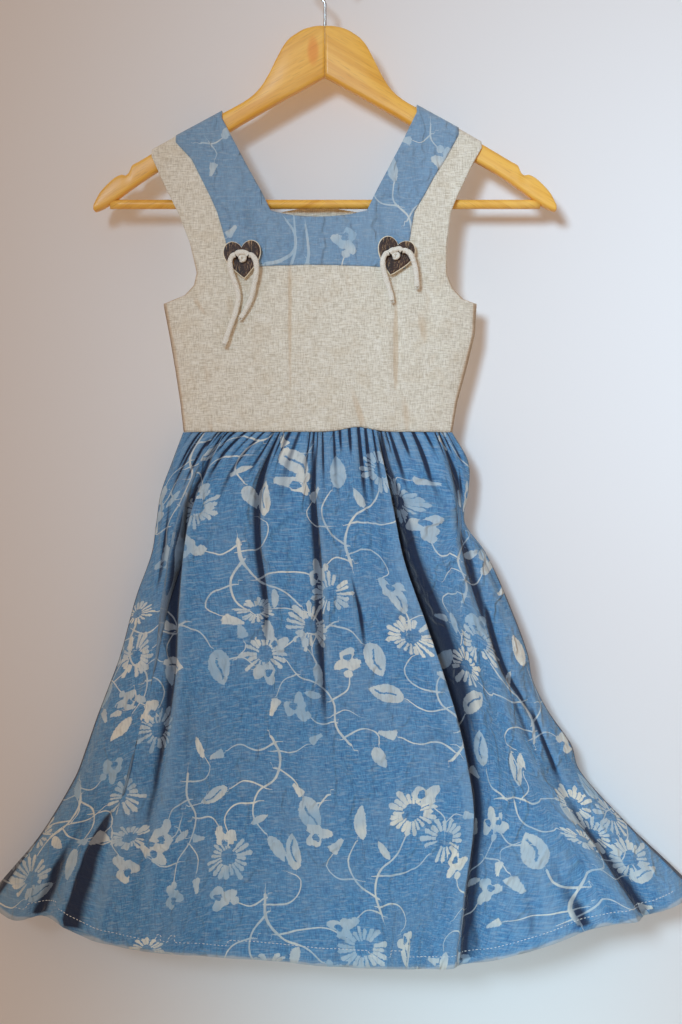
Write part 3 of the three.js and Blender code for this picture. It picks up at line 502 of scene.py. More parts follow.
def body_points(side, row, first, last):
    """Points of a row between two of its coarse columns, FINER to a column."""
    total = 2 * (STRAP_COLUMNS + BAND_COLUMNS + NECK_COLUMNS)
    stops = np.cumsum([0, STRAP_COLUMNS, BAND_COLUMNS, 2 * NECK_COLUMNS, BAND_COLUMNS, STRAP_COLUMNS])
    column = np.linspace(first, total - last, (total - first - last) * FINER + 1)
    x = np.interp(column, stops, [row[key] for key in ("left", "lb", "ln", "rn", "rb", "right")])
    half = np.where(x < 0, -row["left"], row["right"])
    c = x / half
    edge = np.where(x < 0, row["lz"], row["rz"])
    low = max(0.0, 1 - (row["mid"] - WAIST_Z) / 40)
    z = row["mid"] + (edge - row["mid"]) * c * c + waist_lift(x) * low + neck_dip(side, row, x)
    pressed = sum(
        depth * hump((x - cx - lean * (z - cz)) / wide) * hump((z - cz) / long)
        for s, cx, cz, lean, long, wide, depth in CREASES
        if s == side
    )
    rounded = fullness(c) + (1 - fullness(c)) * row["open"]
    inset = np.minimum(1, (1 - np.abs(c)) * 9 + row["open"])
    by_seam = max(0.0, 1 - (row["mid"] - WAIST_Z) / 9)
    pucker = 0.28 * low * np.sin(x / 0.95 + 2 * np.sin(x / 11)) * by_seam
    worn = (waves(LINEN_WAVES, x, z, 1.0 if side > 0 else 4.0) + pucker) * inset
    stands = row["front"] if side > 0 else row["back"]
    depth = np.maximum(SEAM / 2, (stands - pressed) * rounded + worn)
    return np.stack([x, -side * depth, z], 1)


def strap_points(side, name, row, first, rise=0.0, out=None):
    """Points across a strap, from its outer edge or the band's edge to the neck edge."""
    columns = STRAP_COLUMNS + BAND_COLUMNS
    share = np.linspace(first / columns, 1, (columns - first) * FINER + 1)
    band = STRAP_COLUMNS / columns
    x = np.interp(share, [0, band, 1], [row["outer"], row["band"], row["neck"]])
    z = np.interp(share, [0, band, 1], [row["oz"], row["bz"], row["nz"]]) + rise
    stands = row["front" if side > 0 else "back"]
    worn = waves(LINEN_WAVES, x, z, 1.0 if side > 0 else 4.0) * min(1.0, (stands - 7.4) / 3)
    depth = stands + worn if out is None else np.full(len(x), float(out))
    made = np.stack([x, -side * depth, z], 1)
    return made if name == "left" else made[::-1]


def bodice(side, banded):
    """The linen panel, or the printed neck band that lies on it."""
    cloth = Cloth()
    skipped = STRAP_COLUMNS if banded else 0
    start = YOKE_ROW / (len(BODY) - 1) if banded else 0.0
    above = None
    for share in np.linspace(1, start, YOKE_ROWS if banded else BODICE_ROWS):
        row = body_row(share)
        points = body_points(side, row, skipped, skipped)
        ends = "z" if share == 0 else ""
        laid = cloth.row(points, points[:, [0, 2]], ends)
        if not banded and row["open"] == 0:
            cloth.square_ends(laid, "y")
        if above is None:
            top = laid
        else:
            cloth.join(above, laid)
        above = laid
    wide = (STRAP_COLUMNS + BAND_COLUMNS - skipped) * FINER
    for name, straps in STRAPS.items():
        below = top[: wide + 1] if name == "left" else top[-wide - 1 :]
        edge = cloth.points[0][: wide + 1] if name == "left" else cloth.points[0][-wide - 1 :]
        for at in np.linspace(0, len(straps), STRAP_ROWS * len(straps) + 1)[1:]:
            if at <= 1:
                points = edge + (strap_points(side, name, straps[0], skipped) - edge) * at
            else:
                i = min(int(at - 1), len(straps) - 2)
                t = at - 1 - i
                row = {k: straps[i][k] + (straps[i + 1][k] - straps[i][k]) * t for k in straps[0]}
                points = strap_points(side, name, row, skipped)
            laid = cloth.row(points, points[:, [0, 2]])
            cloth.join(laid, below)
            below = laid
        for angle in np.linspace(0, math.pi / 2, SHOULDER_ROWS)[1:]:
            out, up = SHOULDER_RADIUS * math.cos(angle), SHOULDER_RADIUS * math.sin(angle)
            points = strap_points(side, name, straps[-1], skipped, up, max(SEAM / 2, out))
            place = points[:, [0, 2]] + (0, SHOULDER_RADIUS * (angle - math.sin(angle)))
            laid = cloth.row(points, place, "y" if angle == math.pi / 2 else "")
            cloth.join(laid, below)
            below = laid
    return cloth


def shifted(made):
    """Sets a piece of the dress, modelled about its own middle, in its place on the hanger."""
    made.data.transform(Matrix.Translation((DRESS_X * MM, 0, 0)))
    return made


def weave_group():
    """Plain weave: a height for the crossing threads, and a fleck for their uneven thickness."""
    group = bpy.data.node_groups.new("plain weave", "ShaderNodeTree")
    group.interface.new_socket("Thread", in_out="INPUT", socket_type="NodeSocketFloat")
    group.interface.new_socket("Height", in_out="OUTPUT", socket_type="NodeSocketFloat")
    group.interface.new_socket("Fleck", in_out="OUTPUT", socket_type="NodeSocketFloat")
    net = Net(group)
    thread = net.add("NodeGroupInput", out=0)
    place = net.add("ShaderNodeUVMap", uv_map="cloth")
    # The threads wander by about half a millimetre.
    wavy = net.noise(place, 90.0, 2.0, out="Color")
    bent = net.add("ShaderNodeVectorMath", (wavy, (0.0011, 0.0011, 0), place), operation="MULTIPLY_ADD")
    u, v = (net.add("ShaderNodeSeparateXYZ", (bent,), k) for k in (0, 1))
    turns = [net.calc("MULTIPLY", net.calc("DIVIDE", w, thread), math.pi) for w in (u, v)]
    crossing = net.calc("MULTIPLY", net.calc("SINE", turns[0]), net.calc("SINE", turns[1]))
    weft = net.noise(net.stretched(place, 150, 1200), 1.0, 2.0, 0.6)
    warp = net.noise(net.stretched(place, 1200, 170), 1.0, 2.0, 0.6)
    slub = net.calc("ADD", net.calc("MULTIPLY", weft, 0.55), net.calc("MULTIPLY", warp, 0.45))
    out = net.tree.nodes.new("NodeGroupOutput")
    net.tree.links.new(net.calc("MULTIPLY_ADD", crossing, 0.5, slub), out.inputs[0])
    net.tree.links.new(slub, out.inputs[1])
    return group


weave = weave_group()
linen, net, shader = material("natural linen", 0.92, Sheen_Weight=0.15, Sheen_Roughness=0.6)
woven = net.add("ShaderNodeGroup", node_tree=weave).node
woven.inputs["Thread"].default_value = 0.00075
place = net.add("ShaderNodeUVMap", uv_map="cloth")
thick_weft = net.noise(net.stretched(place, 80, 820), 1.0, 2.0, 0.6)
thick_warp = net.noise(net.stretched(place, 820, 80), 1.0, 2.0, 0.6)
cloudy = net.noise(place, 45.0, 3.0, 0.6)
relief = net.attribute("relief", "Fac")
tone = net.blend(net.soft(woven.outputs[1], 0.36, 0.62), colour(208, 197, 175), colour(250, 243, 225))
thick = net.calc("ADD", thick_weft, thick_warp)
tone = net.tinted(tone, thick_weft, 0.5, 0.68, 0.22, (170, 154, 128))
tone = net.tinted(tone, thick_warp, 0.5, 0.68, 0.22, (166, 154, 134))
tone = net.tinted(tone, thick, 0.98, 0.84, 0.3, (250, 246, 236))
tone = net.tinted(tone, cloudy, 0.48, 0.66, 0.16, (206, 182, 142))
# Painted shade: the linen's troughs and creases are tinted a darker warm brown.
tone = net.tinted(tone, relief, -0.12, -0.6, 0.42, (200, 164, 118))
rough = net.calc("ADD", woven.outputs[0], thick)
net.feed(shader, Base_Color=tone, Normal=net.bump(rough, 0.0004, 0.8))

for side, word in ((1, "front"), (-1, "back")):
    made = shifted(bodice(side, False).shell(f"linen_{word}", linen, CLOTH, turned=side < 0))
    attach(made, "root")
    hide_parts(f"bodice_{word}")

# ==== Printed cotton ==================================================================================
# The blue cotton of the neck band and the skirt. Asters, leaves, blossoms and buds on thin vines are
# screen printed on it in pale cream and pale blue. Washing has faded the dye and rubbed the print.

# Each spray of the print: vines as points across and up with half widths at root and tip, then flowers
# as kind, across, up, turn in degrees and size.
SPRAYS = {
    "aster spray": (
        [
            ([(0, 0), (-8, 22), (-2, 44), (14, 60), (20, 78)], 1.48, 0.6),
            ([(-6, 18), (-24, 30), (-32, 50), (-24, 70)], 1.01, 0.52),
            ([(-3, 40), (14, 42), (36, 50), (46, 64)], 0.94, 0.52),
            ([(-4, 10), (14, 16), (28, 12), (36, 0), (30, -8)], 0.86, 0.38),
            ([(-26, 34), (-42, 34), (-52, 44), (-46, 56)], 0.78, 0.38),
            ([(-2, 4), (-16, 6), (-26, -4)], 0.86, 0.45),
        ],
        [
            ("aster", 22, 99, 10, 25),
            ("aster", 56, 80, 60, 24),
            ("leaf", -20, 88, 95, 16),
            ("bud", -42, 64, 50, 10),
            ("leaf", 2, 64, 130, 10),
            ("slit leaf", 42, -24, 295, 17),
            ("blossom", -36, -12, 215, 15),
        ],
    ),
    "blossom vine": (
        [
            ([(0, 0), (8, 20), (4, 42), (16, 62), (34, 74), (44, 92)], 1.17, 0.52),
            ([(8, 24), (24, 26), (34, 38)], 0.78, 0.45),
            ([(5, 44), (-12, 50), (-18, 64)], 0.78, 0.45),
            ([(18, 64), (12, 80), (18, 96)], 0.7, 0.38),
            ([(36, 76), (52, 72), (60, 60)], 0.7, 0.38),
            ([(2, 8), (-14, 12), (-24, 4), (-22, -8)], 0.78, 0.38),
            ([(9, 30), (-6, 32), (-14, 24)], 0.62, 0.3),
        ],
        [
            ("blossom", 42, 46, 50, 16),
            ("blossom", -20, 76, 105, 15),
            ("bud", 20, 106, 80, 9),
            ("blossom", 48, 105, 70, 14),
            ("bud", 64, 50, 300, 10),
            ("leaf", -20, -18, 265, 11),
            ("leaf", 24, 54, 20, 9),
        ],
    ),
    "leaf vine": (
        [
            ([(0, 0), (12, 16), (10, 38), (-4, 54), (-2, 76), (14, 90)], 1.33, 0.52),
            ([(11, 28), (28, 34), (38, 46)], 0.94, 0.52),
            ([(0, 48), (-18, 46), (-30, 56)], 0.86, 0.45),
            ([(-4, 64), (-22, 70), (-28, 84), (-20, 98)], 0.86, 0.45),
            ([(4, 6), (-10, 16), (-28, 14), (-40, 22)], 0.94, 0.45),
            ([(8, 12), (24, 8), (34, -2)], 0.78, 0.38),
        ],
        [
            ("slit leaf", 52, 60, 45, 18),
            ("slit leaf", -46, 64, 150, 15),
            ("aster", -16, 118, 0, 24),
            ("leaf", 28, 101, 35, 15),
            ("bud", -50, 27, 155, 9),
            ("leaf", 5, 78, 320, 9),
            ("bud", 42, -10, 315, 8),
        ],
    ),
    "two asters": (
        [
            ([(0, 0), (16, 8), (36, 6), (54, 16)], 1.01, 0.52),
            ([(12, 6), (22, -10), (42, -18), (58, -20)], 0.86, 0.45),
            ([(2, 2), (-14, 8), (-22, 22)], 0.86, 0.45),
            ([(20, 8), (28, 20), (26, 34)], 0.62, 0.38),
        ],
        [
            ("aster", 76, 20, 0, 25),
            ("half aster", 78, -22, 0, 23),
            ("slit leaf", -30, 40, 105, 17),
            ("leaf", 24, 46, 95, 11),
        ],
    ),
    "bare stems": (
        [
            ([(0, 0), (14, 5), (26, 16), (25, 32), (14, 46)], 1.9, 0.9),
            ([(22, -6), (27, 14), (25, 34), (22, 50)], 1.6, 0.8),
            ([(34, -4), (40, 8), (38, 26), (34, 42)], 1.8, 0.9),
            ([(39, 8), (44, 0), (50, -5)], 1.2, 0.6),
        ],
        [],
    ),
    "leaf sprig": (
        [
            ([(0, -34), (6, -12), (0, 8), (8, 24)], 1.2, 0.6),
            ([(4, -14), (18, -6), (30, -10), (34, -20)], 0.9, 0.4),
            ([(2, 2), (-12, 12), (-14, 24), (-6, 30)], 0.9, 0.4),
        ],
        [("leaf", 14, 38, 70, 14), ("bud", -2, 36, 30, 9)],
    ),
    "single blossom": (
        [([(0, 0), (4, 12), (0, 24)], 0.86, 0.45), ([(3, 8), (14, 12), (20, 8)], 0.62, 0.3)],
        [("blossom", -2, 37, 95, 16), ("bud", 28, 4, 330, 8)],
    ),
}  # fmt: skip
# One repeat of the print: spray, across, up, turn in degrees, and 1 or -1 where it is turned over.
REPEAT = (300, 330)
SPRAYED = [
    ("aster spray", 52, 30, -8, 1),
    ("blossom vine", 176, 12, 14, 1),
    ("leaf vine", 122, 176, 4, 1),
    ("two asters", 196, 150, -10, 1),
    ("blossom vine", 40, 192, 12, -1),
    ("leaf vine", 264, 36, -16, -1),
    ("single blossom", 118, 108, 30, 1),
    ("aster spray", 248, 222, 22, -1),
    ("two asters", 32, 306, 186, 1),
    ("single blossom", 166, 300, -40, -1),
    ("single blossom", 12, 146, 160, 1),
    ("single blossom", 224, 112, 70, -1),
    ("single blossom", 96, 300, 10, 1),
]
KINDS = {"aster": 1, "half aster": 1, "leaf": 2, "slit leaf": 3, "blossom": 4, "bud": 5}
HALF_ASTER = 0.55  # a half aster's height, as a share of its width
NEAR_CLOTH = 40  # vines and flowers are kept where their middles lie this near


def drift(i):
    """A repeatable number from 0 to 1, different for each i."""
    return abs(math.sin(i * 12.9898 + 4.1) * 43758.5453) % 1


def printed(low, high, shift, sprayed, repeat):
    """The vines and flowers that fall on the flat cloth between two corners."""
    vines, flowers = [], []
    first = [math.floor((low[k] - shift[k]) / repeat[k]) - 1 for k in (0, 1)]
    last = [math.ceil((high[k] - shift[k]) / repeat[k]) + 1 for k in (0, 1)]
    number = 0
    for tx in range(first[0], last[0]):
        for ty in range(first[1], last[1]):
            for name, across, up, turn, way in sprayed:
                number += 1
                # Every other column of the repeat starts half a repeat higher and is turned round.
                x0 = tx * repeat[0] + shift[0] + across
                y0 = ty * repeat[1] + shift[1] + up + (tx % 2) * repeat[1] / 2
                a = math.radians(turn + (180 if tx % 2 else 0))
                cos, sin = math.cos(a), math.sin(a)
                spin = np.array([[cos * way, sin * way], [-sin, cos]])
                stems, heads = SPRAYS[name]
                for points, root, tip in stems:
                    line = curve_through(points, 6 * len(points)) @ spin + (x0, y0)
                    vines.append((line, np.linspace(root, tip, len(line)), drift(number)))
                for k, (kind, fx, fy, facing, size) in enumerate(heads):
                    at = np.array([fx, fy]) @ spin + (x0, y0)
                    f = math.radians(facing)
                    ahead = np.array([math.cos(f), math.sin(f)]) @ spin
                    squash = HALF_ASTER if kind == "half aster" else 1
                    flowers.append((KINDS[kind], at, ahead, size, drift(number * 7 + k), squash))

    def met(spot):
        return all(low[k] - NEAR_CLOTH < spot[k] < high[k] + NEAR_CLOTH for k in (0, 1))

    return [v for v in vines if met(v[0].mean(0))], [f for f in flowers if met(f[1])]


def stamp(made, cloth, shift, sprayed=SPRAYED, repeat=REPEAT, fade=0.0):
    """Gives each face the flower it lies on and the vines it lies by, as places within them."""
    mesh = made.data
    paler = mesh.attributes.new("fade", "FLOAT", "FACE")
    paler.data.foreach_set("value", np.full(len(mesh.polygons), fade, np.float32))
    starts, counts = np.zeros(len(mesh.polygons), int), np.zeros(len(mesh.polygons), int)
    mesh.polygons.foreach_get("loop_start", starts)
    mesh.polygons.foreach_get("loop_total", counts)
    corner = cloth.corner_places
    quad = starts[:, None] + np.minimum(np.arange(4), counts[:, None] - 1)
    places = corner[quad]
    middle = places.mean(1)
    vines, flowers = printed(corner.min(0), corner.max(0), shift, sprayed, repeat)
    best = np.ones(len(middle))
    owner = np.full(len(middle), -1)
    for k, (kind, at, ahead, size, seed, squash) in enumerate(flowers):
        off = np.linalg.norm(middle - at, axis=1) / (1.15 * size + 2)
        nearer = off < best
        best[nearer], owner[nearer] = off[nearer], k
    head = np.zeros((len(middle), 4, 3), np.float32)
    grown = np.zeros((len(middle), 3), np.float32)
    for k, (kind, at, ahead, size, seed, squash) in enumerate(flowers):
        mine = owner == k
        local = (places[mine] - at) / size
        head[mine, :, 0] = local @ ahead
        head[mine, :, 1] = local @ np.array([-ahead[1], ahead[0]]) / squash
        head[mine, :, 2] = kind
        grown[mine] = (seed, size, (seed * 17.3) % 1)
    near = np.full((len(middle), 2), 9.0)
    which = np.full((len(middle), 2), -1)
    for k, (line, half, seed) in enumerate(vines):
        low, high = line.min(0) - 9, line.max(0) + 9
        some = np.flatnonzero(np.all((middle > low) & (middle < high), 1))
        if not len(some):
            continue
        off = np.abs(beside(middle[some], line, half)[0])
        first = off < near[some, 0]
        at = some[first]
        near[at, 1], which[at, 1] = near[at, 0], which[at, 0]
        near[at, 0], which[at, 0] = off[first], k
        second = ~first & (off < near[some, 1])
        near[some[second], 1], which[some[second], 1] = off[second], k
    vine = np.full((len(middle), 4, 3), 9.0, np.float32)
    for k, (line, half, seed) in enumerate(vines):
        for order in (0, 1):
            mine = np.flatnonzero(which[:, order] == k)
            if len(mine):
                off, wide = beside(places[mine].reshape(-1, 2), line, half)
                vine[mine, :, order] = (off / wide).reshape(-1, 4)
                if order == 0:
                    vine[mine, :, 2] = seed
    for name, values in (("flower", head), ("vine", vine)):
        flat = np.zeros((len(mesh.loops), 3), np.float32)
        flat[quad.ravel()] = values.reshape(-1, 3)
        layer = mesh.attributes.new(name, "FLOAT_VECTOR", "CORNER")
        layer.data.foreach_set("vector", flat.ravel())
    mesh.attributes.new("grown", "FLOAT_VECTOR", "FACE").data.foreach_set("vector", grown.ravel())


def beside(spots, line, half):
    """Each spot's signed distance from a line, and the line's half width there."""
    start, step = line[:-1], np.diff(line, axis=0)
    length = (step**2).sum(1)
    offset = spots[:, None] - start
    run = np.clip((offset * step).sum(2) / length, 0, 1)
    away = offset - run[..., None] * step
    apart = np.sqrt((away**2).sum(2))
    nearest = apart.argmin(1)
    rows = np.arange(len(spots))
    run_x, run_y = step[nearest].T
    off_x, off_y = away[rows, nearest].T
    side = np.sign(run_x * off_y - run_y * off_x)
    wide = half[nearest] + (half[nearest + 1] - half[nearest]) * run[rows, nearest]
    return apart[rows, nearest] * np.where(side == 0, 1, side), wide


def print_group():
    """The print's mask, and how blue its pale parts are, from the places that stamp gives."""
    group = bpy.data.node_groups.new("floral print", "ShaderNodeTree")
    for name in ("Mask", "Tint"):
        group.interface.new_socket(name, in_out="OUTPUT", socket_type="NodeSocketFloat")
    net = Net(group)
    calc, soft = net.calc, net.soft
    cloth_place = net.add("ShaderNodeUVMap", uv_map="cloth")
    ragged = net.noise(cloth_place, 420.0, 2.0, 0.6, out="Color")
    flower, grown, vine = (net.attribute(name, "Vector") for name in ("flower", "grown", "vine"))
    kind = net.add("ShaderNodeSeparateXYZ", (flower,), 2)
    seed, size, tint = (net.add("ShaderNodeSeparateXYZ", (grown,), k) for k in range(3))
    # Brush edges wander a little: about half a millimetre.
    wander = net.add("ShaderNodeVectorMath", (ragged, (0.5, 0.5, 0.5)), operation="SUBTRACT")
    scaled = net.add("ShaderNodeVectorMath", operation="SCALE")
    net.tree.links.new(wander, scaled.node.inputs[0])
    net.tree.links.new(calc("DIVIDE", 2.6, calc("MAXIMUM", size, 1.0)), scaled.node.inputs["Scale"])
    moved = net.add("ShaderNodeVectorMath", (flower, scaled), operation="ADD")
    x, y = (net.add("ShaderNodeSeparateXYZ", (moved,), k) for k in (0, 1))
    edge = calc("DIVIDE", 0.35, calc("MAXIMUM", size, 1.0))
    r = calc("SQRT", calc("ADD", calc("MULTIPLY", x, x), calc("MULTIPLY", y, y)))
    turn = calc("ADD", calc("DIVIDE", calc("ARCTAN2", y, x), 2 * math.pi), 0.5)

    def within(value):
        """1 where value is positive, with a soft edge."""
        return soft(calc("DIVIDE", value, edge), -1.0, 1.0)

    def both(*masks):
        """Where all of the masks are."""
        total = masks[0]
        for m in masks[1:]:
            total = calc("MULTIPLY", total, m)
        return total

    # Aster: narrow petals round an open middle, each with its own length, width and lean.
    petals = calc("FLOOR", calc("MULTIPLY_ADD", seed, 6.0, 17.0))
    around = calc("MULTIPLY", turn, petals)
    each = net.add("ShaderNodeCombineXYZ", (calc("FLOOR", around), calc("MULTIPLY", seed, 91.7), 0.0))
    dice = net.add("ShaderNodeTexWhiteNoise", {"Vector": each}, "Color", noise_dimensions="2D")
    d1, d2, d3 = (net.add("ShaderNodeSeparateXYZ", (dice,), k) for k in range(3))
    lean = calc("MULTIPLY_ADD", d3, -0.3, -0.35)
    off_middle = calc("ABSOLUTE", calc("ADD", calc("FRACT", around), lean))
    sideways = calc("MULTIPLY", calc("DIVIDE", calc("MULTIPLY", off_middle, r), petals), 2 * math.pi)
    widening = calc("MULTIPLY_ADD", r, 0.085, 0.016)
    petal_wide = calc("MULTIPLY", widening, calc("MULTIPLY_ADD", d1, 0.7, 0.75))
    petal_tip = calc("MULTIPLY_ADD", d2, 0.38, 0.64)
    rounded = calc("MULTIPLY", calc("MULTIPLY", sideways, sideways), 9.0)
    petal = both(
        within(calc("SUBTRACT", petal_wide, sideways)),
        within(calc("SUBTRACT", petal_tip, calc("ADD", r, rounded))),
        within(calc("SUBTRACT", r, calc("MULTIPLY_ADD", d1, 0.12, 0.26))),
        calc("GREATER_THAN", d2, 0.06),
    )
    aster = both(petal, calc("COMPARE", kind, 1.0, 0.4))
    # Leaf: almond, pointed at its tip, and on some a wavy slit with a notch.
    t = calc("MULTIPLY_ADD", x, 0.5, 0.5)
    inside_t = net.add("ShaderNodeClamp", (t, 0.0, 1.0))
    to_tip = calc("POWER", calc("SUBTRACT", 1.0, inside_t), 0.85)
    belly = calc("MULTIPLY", calc("POWER", inside_t, 0.62), to_tip)
    curl = calc("SINE", calc("MULTIPLY_ADD", x, 1.6, calc("MULTIPLY", seed, 6.0)))
    bent = calc("SUBTRACT", y, calc("MULTIPLY", curl, 0.08))
    slitted = calc("COMPARE", kind, 3.0, 0.4)
    plump = calc("MULTIPLY_ADD", seed, 0.45, calc("MULTIPLY_ADD", slitted, 0.3, 0.85))
    leaf = within(calc("SUBTRACT", calc("MULTIPLY", belly, plump), calc("ABSOLUTE", bent)))
    wavy = calc("SINE", calc("MULTIPLY_ADD", x, 4.2, calc("MULTIPLY", seed, 9.0)))
    rib = calc("MULTIPLY", wavy, 0.09)
    in_slit = calc("SUBTRACT", 0.05, calc("ABSOLUTE", calc("SUBTRACT", bent, rib)))
    slit = both(within(in_slit), soft(t, 0.2, 0.24), soft(t, 0.86, 0.8), slitted)
    leaf = both(leaf, calc("SUBTRACT", 1.0, slit), calc("COMPARE", kind, 2.5, 0.9))
    # Blossom: lobed petals round an open eye, on a small calyx.
    lobes = calc("SINE", calc("MULTIPLY_ADD", turn, 6 * math.pi, calc("MULTIPLY", seed, 20.0)))
    more = calc("SINE", calc("MULTIPLY_ADD", turn, 10 * math.pi, calc("MULTIPLY", seed, 47.0)))
    outline = calc("ADD", calc("MULTIPLY_ADD", lobes, 0.2, 0.66), calc("MULTIPLY", more, 0.12))
    eye_x = calc("SUBTRACT", x, 0.22)
    eye_y = calc("SUBTRACT", y, calc("MULTIPLY_ADD", seed, 0.3, -0.15))
    eye = calc("SQRT", calc("ADD", calc("MULTIPLY", eye_x, eye_x), calc("MULTIPLY", eye_y, eye_y)))
    behind = calc("POWER", calc("ABSOLUTE", calc("ADD", x, 0.8)), 2.0)
    calyx = calc("SQRT", calc("ADD", behind, calc("MULTIPLY", y, y)))
    round_eye = within(calc("SUBTRACT", eye, calc("MULTIPLY_ADD", more, 0.04, 0.22)))
    lobed = both(within(calc("SUBTRACT", outline, r)), round_eye)
    blossom = calc("MAXIMUM", lobed, within(calc("SUBTRACT", 0.24, calyx)))
    blossom = both(blossom, calc("COMPARE", kind, 4.0, 0.4))
    # Bud: a drop on a flared cup.
    drop = calc("SUBTRACT", calc("MULTIPLY_ADD", x, -0.22, 0.36), calc("ABSOLUTE", y))
    bud = both(within(drop), within(calc("SUBTRACT", 0.85, r)))
    bud = both(bud, calc("COMPARE", kind, 5.0, 0.4))
    # Vines: full across their width, breaking a little as a worn screen prints.
    v0, v1, vine_seed = (net.add("ShaderNodeSeparateXYZ", (vine,), k) for k in range(3))
    uneven = net.noise(cloth_place, 130.0, 2.0, 0.5)
    width = calc("MULTIPLY_ADD", uneven, 1.1, 0.45)
    left_in = [calc("SUBTRACT", width, calc("ABSOLUTE", v)) for v in (v0, v1)]
    vines = calc("MAXIMUM", *(soft(inner, -0.2, 0.25) for inner in left_in))
    flowers = calc("MAXIMUM", calc("MAXIMUM", aster, leaf), calc("MAXIMUM", blossom, bud))
    mask = calc("MAXIMUM", flowers, vines)
    rubbed = calc("MULTIPLY_ADD", soft(net.noise(cloth_place, 60.0, 4.0, 0.6), 0.3, 0.6), 0.16, 0.84)
    on_flower = calc("GREATER_THAN", flowers, 0.5)
    vine_tint = calc("MULTIPLY_ADD", vine_seed, 0.4, 0.05)
    shade = net.add("ShaderNodeMix", {0: on_flower, 2: vine_tint, 3: tint})
    wash = calc("MULTIPLY", soft(net.noise(cloth_place, 22.0, 2.0), 0.35, 0.65), 0.6)
    out = net.tree.nodes.new("NodeGroupOutput")
    net.tree.links.new(calc("MULTIPLY", mask, rubbed), out.inputs[0])
    net.tree.links.new(calc("MULTIPLY_ADD", shade, 0.6, wash), out.inputs[1])
    return group


cotton, net, shader = material("printed cotton", 0.88, Sheen_Weight=0.2, Sheen_Roughness=0.5)
flowered = net.add("ShaderNodeGroup", node_tree=print_group()).node
woven = net.add("ShaderNodeGroup", node_tree=weave).node
woven.inputs["Thread"].default_value = 0.0006
place = net.add("ShaderNodeUVMap", uv_map="cloth")
faded = net.noise(place, 16.0, 4.0, 0.6)
weft_lines = net.noise(net.stretched(place, 95, 560), 1.0, 2.0, 0.65)
warp_lines = net.noise(net.stretched(place, 620, 80), 1.0, 2.0, 0.65)
crumple = net.noise(net.stretched(place, 260, 140), 1.0, 4.0, 0.6)
folded = net.noise(net.stretched(place, 30, 18), 1.0, 3.0, 0.5)
creased = net.calc("ABSOLUTE", net.calc("SUBTRACT", folded, 0.5))
inside = net.attribute("inside", "Fac")
relief = net.attribute("relief", "Fac")
dye = net.blend(net.soft(woven.outputs[1], 0.36, 0.62), colour(58, 116, 168), colour(100, 160, 202))
dye = net.tinted(dye, weft_lines, 0.5, 0.66, 0.5, (164, 186, 204))
dye = net.tinted(dye, warp_lines, 0.5, 0.66, 0.35, (52, 94, 146))
dye = net.tinted(dye, faded, 0.42, 0.66, 0.3, (132, 162, 188))
dye = net.blend(net.attribute("fade", "Fac"), dye, colour(176, 190, 196))
# Ridges are tinted paler, the hem's worn edges are rubbed pale, and the depths of the folds and gathers
# are painted dark as shade.
dye = net.tinted(dye, relief, 0.05, 0.5, 0.3, (146, 178, 204))
dye = net.tinted(dye, relief, 0.8, 1.6, 0.7, (206, 214, 218))
dye = net.tinted(dye, relief, -0.1, -1.1, 0.95, (6, 20, 52))
pale = net.blend(flowered.outputs[1], colour(240, 236, 220), colour(164, 194, 214))
# Painted shade: the print too is darkened in the depths of folds and gathers.
pale = net.tinted(pale, relief, -0.1, -1.1, 0.72, (64, 78, 102))
pale = net.tinted(pale, warp_lines, 0.5, 0.66, 0.25, (150, 160, 168))
right_side = net.blend(flowered.outputs[0], dye, pale)
through = net.calc("MULTIPLY", flowered.outputs[0], 0.35)  # the print shows faintly on the wrong side
wrong_side = net.blend(through, net.blend(0.45, dye, colour(150, 172, 190)), pale)
threads = net.calc("ADD", woven.outputs[0], net.calc("ADD", weft_lines, warp_lines))
rough = net.calc("MULTIPLY_ADD", crumple, 1.6, threads)
ridged = net.calc("MULTIPLY", net.soft(creased, 0.06, 0.0), 6.0)
ridged = net.calc("MULTIPLY_ADD", net.noise(net.stretched(place, 62, 36), 1.0, 2.0), 14.0, ridged)
net.feed(
    shader,
    Base_Color=net.blend(inside, right_side, wrong_side),
    Normal=net.bump(net.calc("ADD", rough, ridged), 0.00035, 0.8),
)

# ==== Neck band =======================================================================================
# The yoke strip under the square neck and the inner half of both straps, cut in one from the printed
# cotton, once for the front and once for the back. Each is laid on the linen and sewn down.

BAND = 0.6
BAND_GAP = 0.15  # between the linen and the band
BAND_FADE = 0.36  # the band is washed paler than the skirt
# What of the print falls on the narrow band, laid out as the sprays of a repeat are.
BAND_REPEAT = (900, 900)
BAND_SPRAYED = {
    1: [
        ("bare stems", -50, -304, -6, 1), ("single blossom", -84, -300, 78, 1),
        ("single blossom", 28, -318, 5, -1), ("single blossom", -112, -186, -75, 1),
        ("single blossom", -150, -168, 20, -1), ("leaf sprig", 76, -250, 26, 1),
        ("single blossom", 108, -170, 200, 1),
    ],
    -1: [
        ("bare stems", 30, -300, 8, -1), ("leaf sprig", -70, -262, -20, 1),
        ("single blossom", 96, -232, 40, 1), ("single blossom", -4, -312, 0, 1),
        ("bare stems", -124, -190, 80, 1),
    ],
}  # fmt: skip
for side, word in ((1, "front"), (-1, "back")):
    cloth = bodice(side, True)
    made = cloth.shell(f"printed_band_{word}", cotton, BAND, lift=BAND + BAND_GAP, turned=side < 0)
    stamp(made, cloth, (0, 0), BAND_SPRAYED[side], BAND_REPEAT, BAND_FADE)
    shifted(made)
    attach(made, "root")
    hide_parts(f"neck_band_{word}")

# ==== Skirt ===========================================================================================
# Two flared panels of the printed cotton, sewn together at the sides and gathered into the waist seam.
# The cloth hangs in one deep fold at the front's right and in shallower ones. The hem is turned up.

